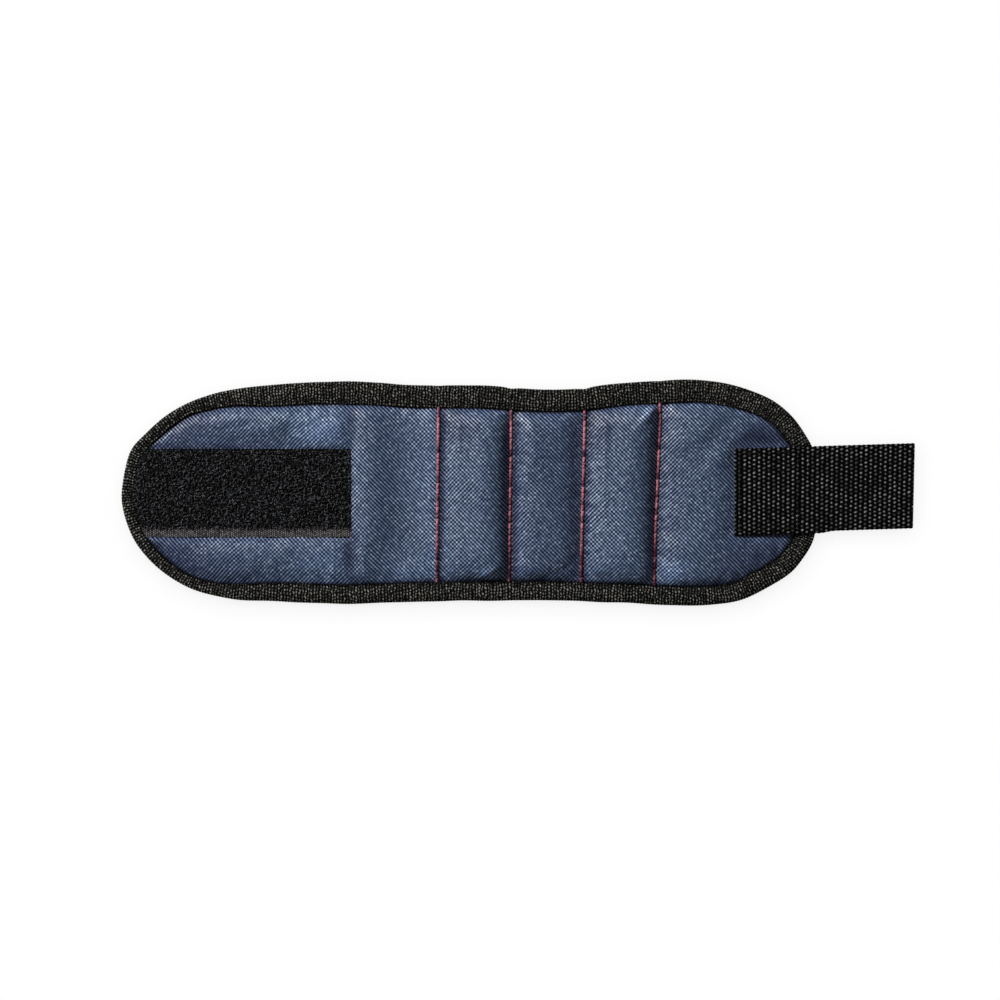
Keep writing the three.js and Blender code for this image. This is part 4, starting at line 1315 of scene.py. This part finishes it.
def tape_grid(start, end, step):
    """The plan of a stretch of tape, in columns across it."""
    columns = int(math.ceil((end - start) / step)) + 1
    rows = int(math.ceil(TAPE_WIDTH / step)) + 1
    return np.meshgrid(np.linspace(start, end, columns), np.linspace(-HALF_TAPE, HALF_TAPE, rows), indexing="ij")


def spots(xs, ys):
    """Every place of a grid, as two flat lists."""
    return (grid.ravel() for grid in np.meshgrid(xs, ys, indexing="ij"))


def build_loop_tape():
    cut = MIDDLES[0]
    rng = np.random.default_rng(RANDOM_SEED)
    for label, fold, start, end, nodes in (("tip", 0, TIP_X, cut, ["loop_tape_tip"]),
                                           ("inner", 1, cut, PATCH_END_X, ["loop_tape_middle", "loop_tape_inner"])):
        x, y = tape_grid(start, end, 0.8)
        if label == "tip":
            tip_x = OUTLINE[:, 0].min() + (TAPE_TIP_INSET + 0.5)
            lower, upper = edges_at(np.maximum(x[:, 0], tip_x), TAPE_TIP_INSET)
            lower = np.maximum(lower, -HALF_TAPE)
            upper = np.minimum(upper, HALF_TAPE)
            y = mix(lower[:, None], upper[:, None], (y + HALF_TAPE) / TAPE_WIDTH)
            x = np.maximum(x, tip_x) + np.linspace(0, 0.02, len(x))[:, None]
        wave = 0.12 * soft_noise(x, y, 6, 41) * (np.abs(y) > HALF_TAPE - 0.5)
        base = PATCH_TOP + 0.05 + 0.15 * soft_noise(x, y, 20, 42)
        base = mix(SEAM_TOP + 0.05, base, off_edge(depth_inside(x, y)))
        # Painted shade on the base under the pile; the lower selvage keeps its full tone
        crevice = mix(0.06, 1.0, smooth((LOWER_SELVAGE - HALF_TAPE - y + 0.1) / 0.4))
        piece = shell("loop_tape_base_" + label, joined(x, y + wave, base + TAPE_THICKNESS),
                      joined(x, y + wave, base), joined(x, y), TAPE_BASE, {"crevice": crevice})
        dress(piece, fold, nodes)
        declare_sheet(piece, joined(x, y))
        build_pile(label, fold, start, end, rng)


def build_pile(label, fold, start, end, rng):
    """Unbrushed loops all over the tape but its lower selvage."""
    x, y = spots(np.arange(start + LOOP_PITCH / 2, end, LOOP_PITCH),
                 np.arange(-HALF_TAPE + LOWER_SELVAGE, HALF_TAPE - 0.3, LOOP_PITCH))
    x = np.minimum(x + rng.uniform(-LOOP_SCATTER, LOOP_SCATTER, len(x)), end - 0.35)
    y = y + rng.uniform(-LOOP_SCATTER, LOOP_SCATTER, len(y))
    depth = depth_inside(x, y)
    kept = depth > 0.1
    x, y, depth = x[kept], y[kept], depth[kept]
    z = mix(SEAM_TOP, PATCH_TOP, off_edge(depth)) + TAPE_THICKNESS - 0.05 + 0.15 * soft_noise(x, y, 20, 42)
    count = len(x)
    turns = joined(rng.normal(0, 0.45, count), rng.normal(0, 0.3, count), rng.uniform(0, 2 * math.pi, count))
    pile = strands("loop_pile_" + label, PILE_LOOP, joined(x, y, z), turns, rng.uniform(0.75, 1.2, count))
    dress(pile, fold)


# Strap and hook tape

STRAP_LEAN = 0.0305
STRAP_END_SLANT = 0.0225
STRAP_STEP = 0.3
WEBBING_THICKNESS = 1.5


def leaning(x, y):
    """Lets the strap rise a little towards its free end, which is cut slightly aslant."""
    past = x - STRAP_START_X
    share = past / (STRAP_END_X - STRAP_START_X)
    drawn_in = 0.9 * smooth((x - BAND_END_X - 1) / 8) * (0.5 - y / TAPE_WIDTH)
    return x + STRAP_END_SLANT * (y - HALF_TAPE) * share, 0.3 + STRAP_LEAN * past + 0.99 * y + drawn_in


def build_strap():
    x, y = tape_grid(STRAP_START_X, STRAP_END_X, STRAP_STEP)
    across = np.abs(y) / HALF_TAPE
    rounding = np.sqrt(np.clip(1 - np.clip((across - 0.96) / 0.04, 0, 1) ** 2, 0, 1))
    wave = 0.14 * np.cos(2 * math.pi * x / WEFT_PITCH) * smooth((across - 0.9) / 0.1) * np.sign(y)
    middle = TAPE_UNDER + WEBBING_THICKNESS / 2 + 0.15 * soft_noise(x, y, 30, 51)
    thick = WEBBING_THICKNESS / 2 * (0.25 + 0.75 * rounding)
    dots = staggered_dots(x, y, WEFT_PITCH, PICK_PITCH, PICK_WIDTH, PICK_LENGTH)
    px, py = leaning(x, y + wave)
    piece = shell("strap_webbing", joined(px, py, middle + thick + PICK_HEIGHT * (dots - 0.4)),
                  joined(px, py, middle - thick), joined(x, y), WEBBING, {"crevice": np.ones(x.shape)})
    dress(piece, STRAP_FOLD, ["strap_sewn", "strap_tail"])
    build_strap_seam()


def build_strap_seam():
    """A box of black stitches round the sewn end of the strap."""
    left = STRAP_START_X + 2.2
    right = BAND_END_X - 8.0
    side = HALF_TAPE - 2.2
    corners = [(left, side), (left, -side), (right, -side), (right, side), (left, side)]
    runs = []
    for (x, y), (next_x, next_y) in zip(corners, corners[1:]):
        xs, ys = leaning(np.linspace(x, next_x, 60), np.linspace(y, next_y, 60))
        runs.append(stitches_along(joined(xs, ys, TAPE_UNDER + WEBBING_THICKNESS + 0.02), SEAM_PITCH))
    middles, turns = (np.concatenate(parts) for parts in zip(*runs))
    thread = strands("strap_seam", STRAP_STITCH, middles, turns)
    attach(thread, fold_panels(STRAP_FOLD)[0])


HOOK_PITCH = 1.5
HOOK_BASE_THICKNESS = 0.7


def build_hook_tape():
    low, high = node_box("hook_tape")
    start, end, top = low[0], high[0], high[2]
    under = top - HOOK_BASE_THICKNESS
    x, y = tape_grid(start, end, 0.9)
    px, py = leaning(x, y)
    # The hook tape's base is set a darker tone all over
    piece = shell("hook_tape_base", joined(px, py, top), joined(px, py, under), joined(x, y), TAPE_BASE,
                  {"crevice": np.full(x.shape, 0.3)})
    dress(piece, STRAP_FOLD, ["hook_tape"])
    declare_sheet(piece, joined(x, y))
    hx, hy = spots(np.arange(start + 1.0, end - 0.8, HOOK_PITCH),
                   np.arange(-HALF_TAPE + 2.8, HALF_TAPE - 2.8, HOOK_PITCH))
    way = np.where(np.round((hy + HALF_TAPE) / HOOK_PITCH).astype(int) % 2 == 0, 0.0, math.pi)
    hx, hy = leaning(hx, hy)
    hooks = strands("hook_field", HOOK, joined(hx, hy, under + 0.05), joined(math.pi, 0.0, way + STRAP_LEAN))
    dress(hooks, STRAP_FOLD)


# Carried nodes

def dress_inner_pieces():
    for name, node in frame["nodes"].items():
        if name.startswith("magnet_"):
            node.data.materials.clear()
            node.data.materials.append(FOAM if name.startswith("magnet_carrier") else NICKEL)


# Stage, light and camera

PHOTO_WIDTH_PX = 1000
MM_PER_PX = 0.4318
FRAME_MIDDLE_PX = (500, 500)
ORIGIN_PX = (518.2, 493.0)
LENS = 100
SENSOR = 36
FLOOR_DROP = 0.2
FLOOR_HALF_SIZE = 2000.0
FLOOR_SHADE = 0.22
SHADE_REACH_M = 0.010
ROOM_LIGHT = 0.14
WINDOW_WAY = (-0.62, 0.50, 0.60)
WINDOW_DISTANCE = 2.0
WINDOW_SIZE = 0.45
WINDOW_POWER = 58


def build_camera():
    camera = bpy.data.cameras.new("camera")
    camera.lens = LENS
    camera.sensor_width = SENSOR
    camera.clip_start = 0.01
    camera.clip_end = 20
    holder = add_object("camera", camera)
    width = PHOTO_WIDTH_PX * MM_PER_PX
    x = (FRAME_MIDDLE_PX[0] - ORIGIN_PX[0]) * MM_PER_PX
    y = (ORIGIN_PX[1] - FRAME_MIDDLE_PX[1]) * MM_PER_PX
    holder.location = (x * MM, y * MM, (BINDING_TOP + width * LENS / SENSOR) * MM)
    bpy.context.scene.camera = holder


def build_world():
    world = bpy.data.worlds.new("pale room")
    world.use_nodes = True
    bpy.context.scene.world = world
    tree = Tree(world.node_tree)
    seen = tree.get("ShaderNodeLightPath", "Is Camera Ray")
    strength = tree.ramp(seen, 0.0, 1.0, ROOM_LIGHT, 1.0, kind="LINEAR")
    background = tree.get("ShaderNodeBackground", 0, {"Color": (1, 1, 1, 1), "Strength": strength})
    tree.node("ShaderNodeOutputWorld", {"Surface": background})


def build_floor():
    """A pale floor: it shows a painted soft shadow, darker where the band lies near, and lets what hangs below show."""
    ways = ((-1, -1), (1, -1), (1, 1), (-1, 1))
    corners = [(x * FLOOR_HALF_SIZE, y * FLOOR_HALF_SIZE, -FLOOR_DROP) for x, y in ways]
    floor = mesh_from("floor", corners, np.array([[0, 1, 2, 3]]))
    material = new_material("pale floor")
    tree = Tree(material.node_tree)
    lean = tree.join(-0.15, 0.35, 0.92)
    # Painted shadow: the floor darkens by how near the band is, leaned towards the window
    near = tree.get("ShaderNodeAmbientOcclusion", "AO", {"Distance": SHADE_REACH_M, "Normal": lean}, samples=8)
    shade = tree.ramp(near, 1.0, 0.25, 0.0, FLOOR_SHADE, kind="LINEAR")
    clear = tree.get("ShaderNodeBsdfTransparent", 0)
    painted_shadow_grey = tree.get("ShaderNodeEmission", 0, {"Color": (0.2, 0.2, 0.21, 1), "Strength": 1.0})
    shown = tree.get("ShaderNodeMixShader", 0, {0: shade, 1: clear, 2: painted_shadow_grey})
    white = tree.get("ShaderNodeBsdfDiffuse", 0, {"Color": (0.85, 0.85, 0.85, 1)})
    seen = tree.get("ShaderNodeLightPath", "Is Camera Ray")
    whole = tree.get("ShaderNodeMixShader", 0, {0: seen, 1: white, 2: shown})
    tree.node("ShaderNodeOutputMaterial", {"Surface": whole})
    floor.data.materials.append(material)
    floor.visible_shadow = False


def build_window():
    """One soft light, high on the upper left, turned to the band."""
    light = bpy.data.lights.new("window", "AREA")
    light.shape = "DISK"
    light.size = WINDOW_SIZE
    light.energy = WINDOW_POWER
    holder = add_object("window", light)
    x, y, z = (WINDOW_DISTANCE * share for share in WINDOW_WAY)
    holder.location = (x, y, z)
    holder.rotation_euler = (math.acos(z / math.hypot(x, y, z)), 0, math.atan2(-y, -x) - math.pi / 2)


surface = build_front_cloth()
build_lining()
build_edge_tape()
build_red_rows(surface)
build_loop_tape()
build_strap()
build_hook_tape()
dress_inner_pieces()
build_camera()
build_world()
build_floor()
build_window()
bpy.context.scene.view_settings.view_transform = "Standard"
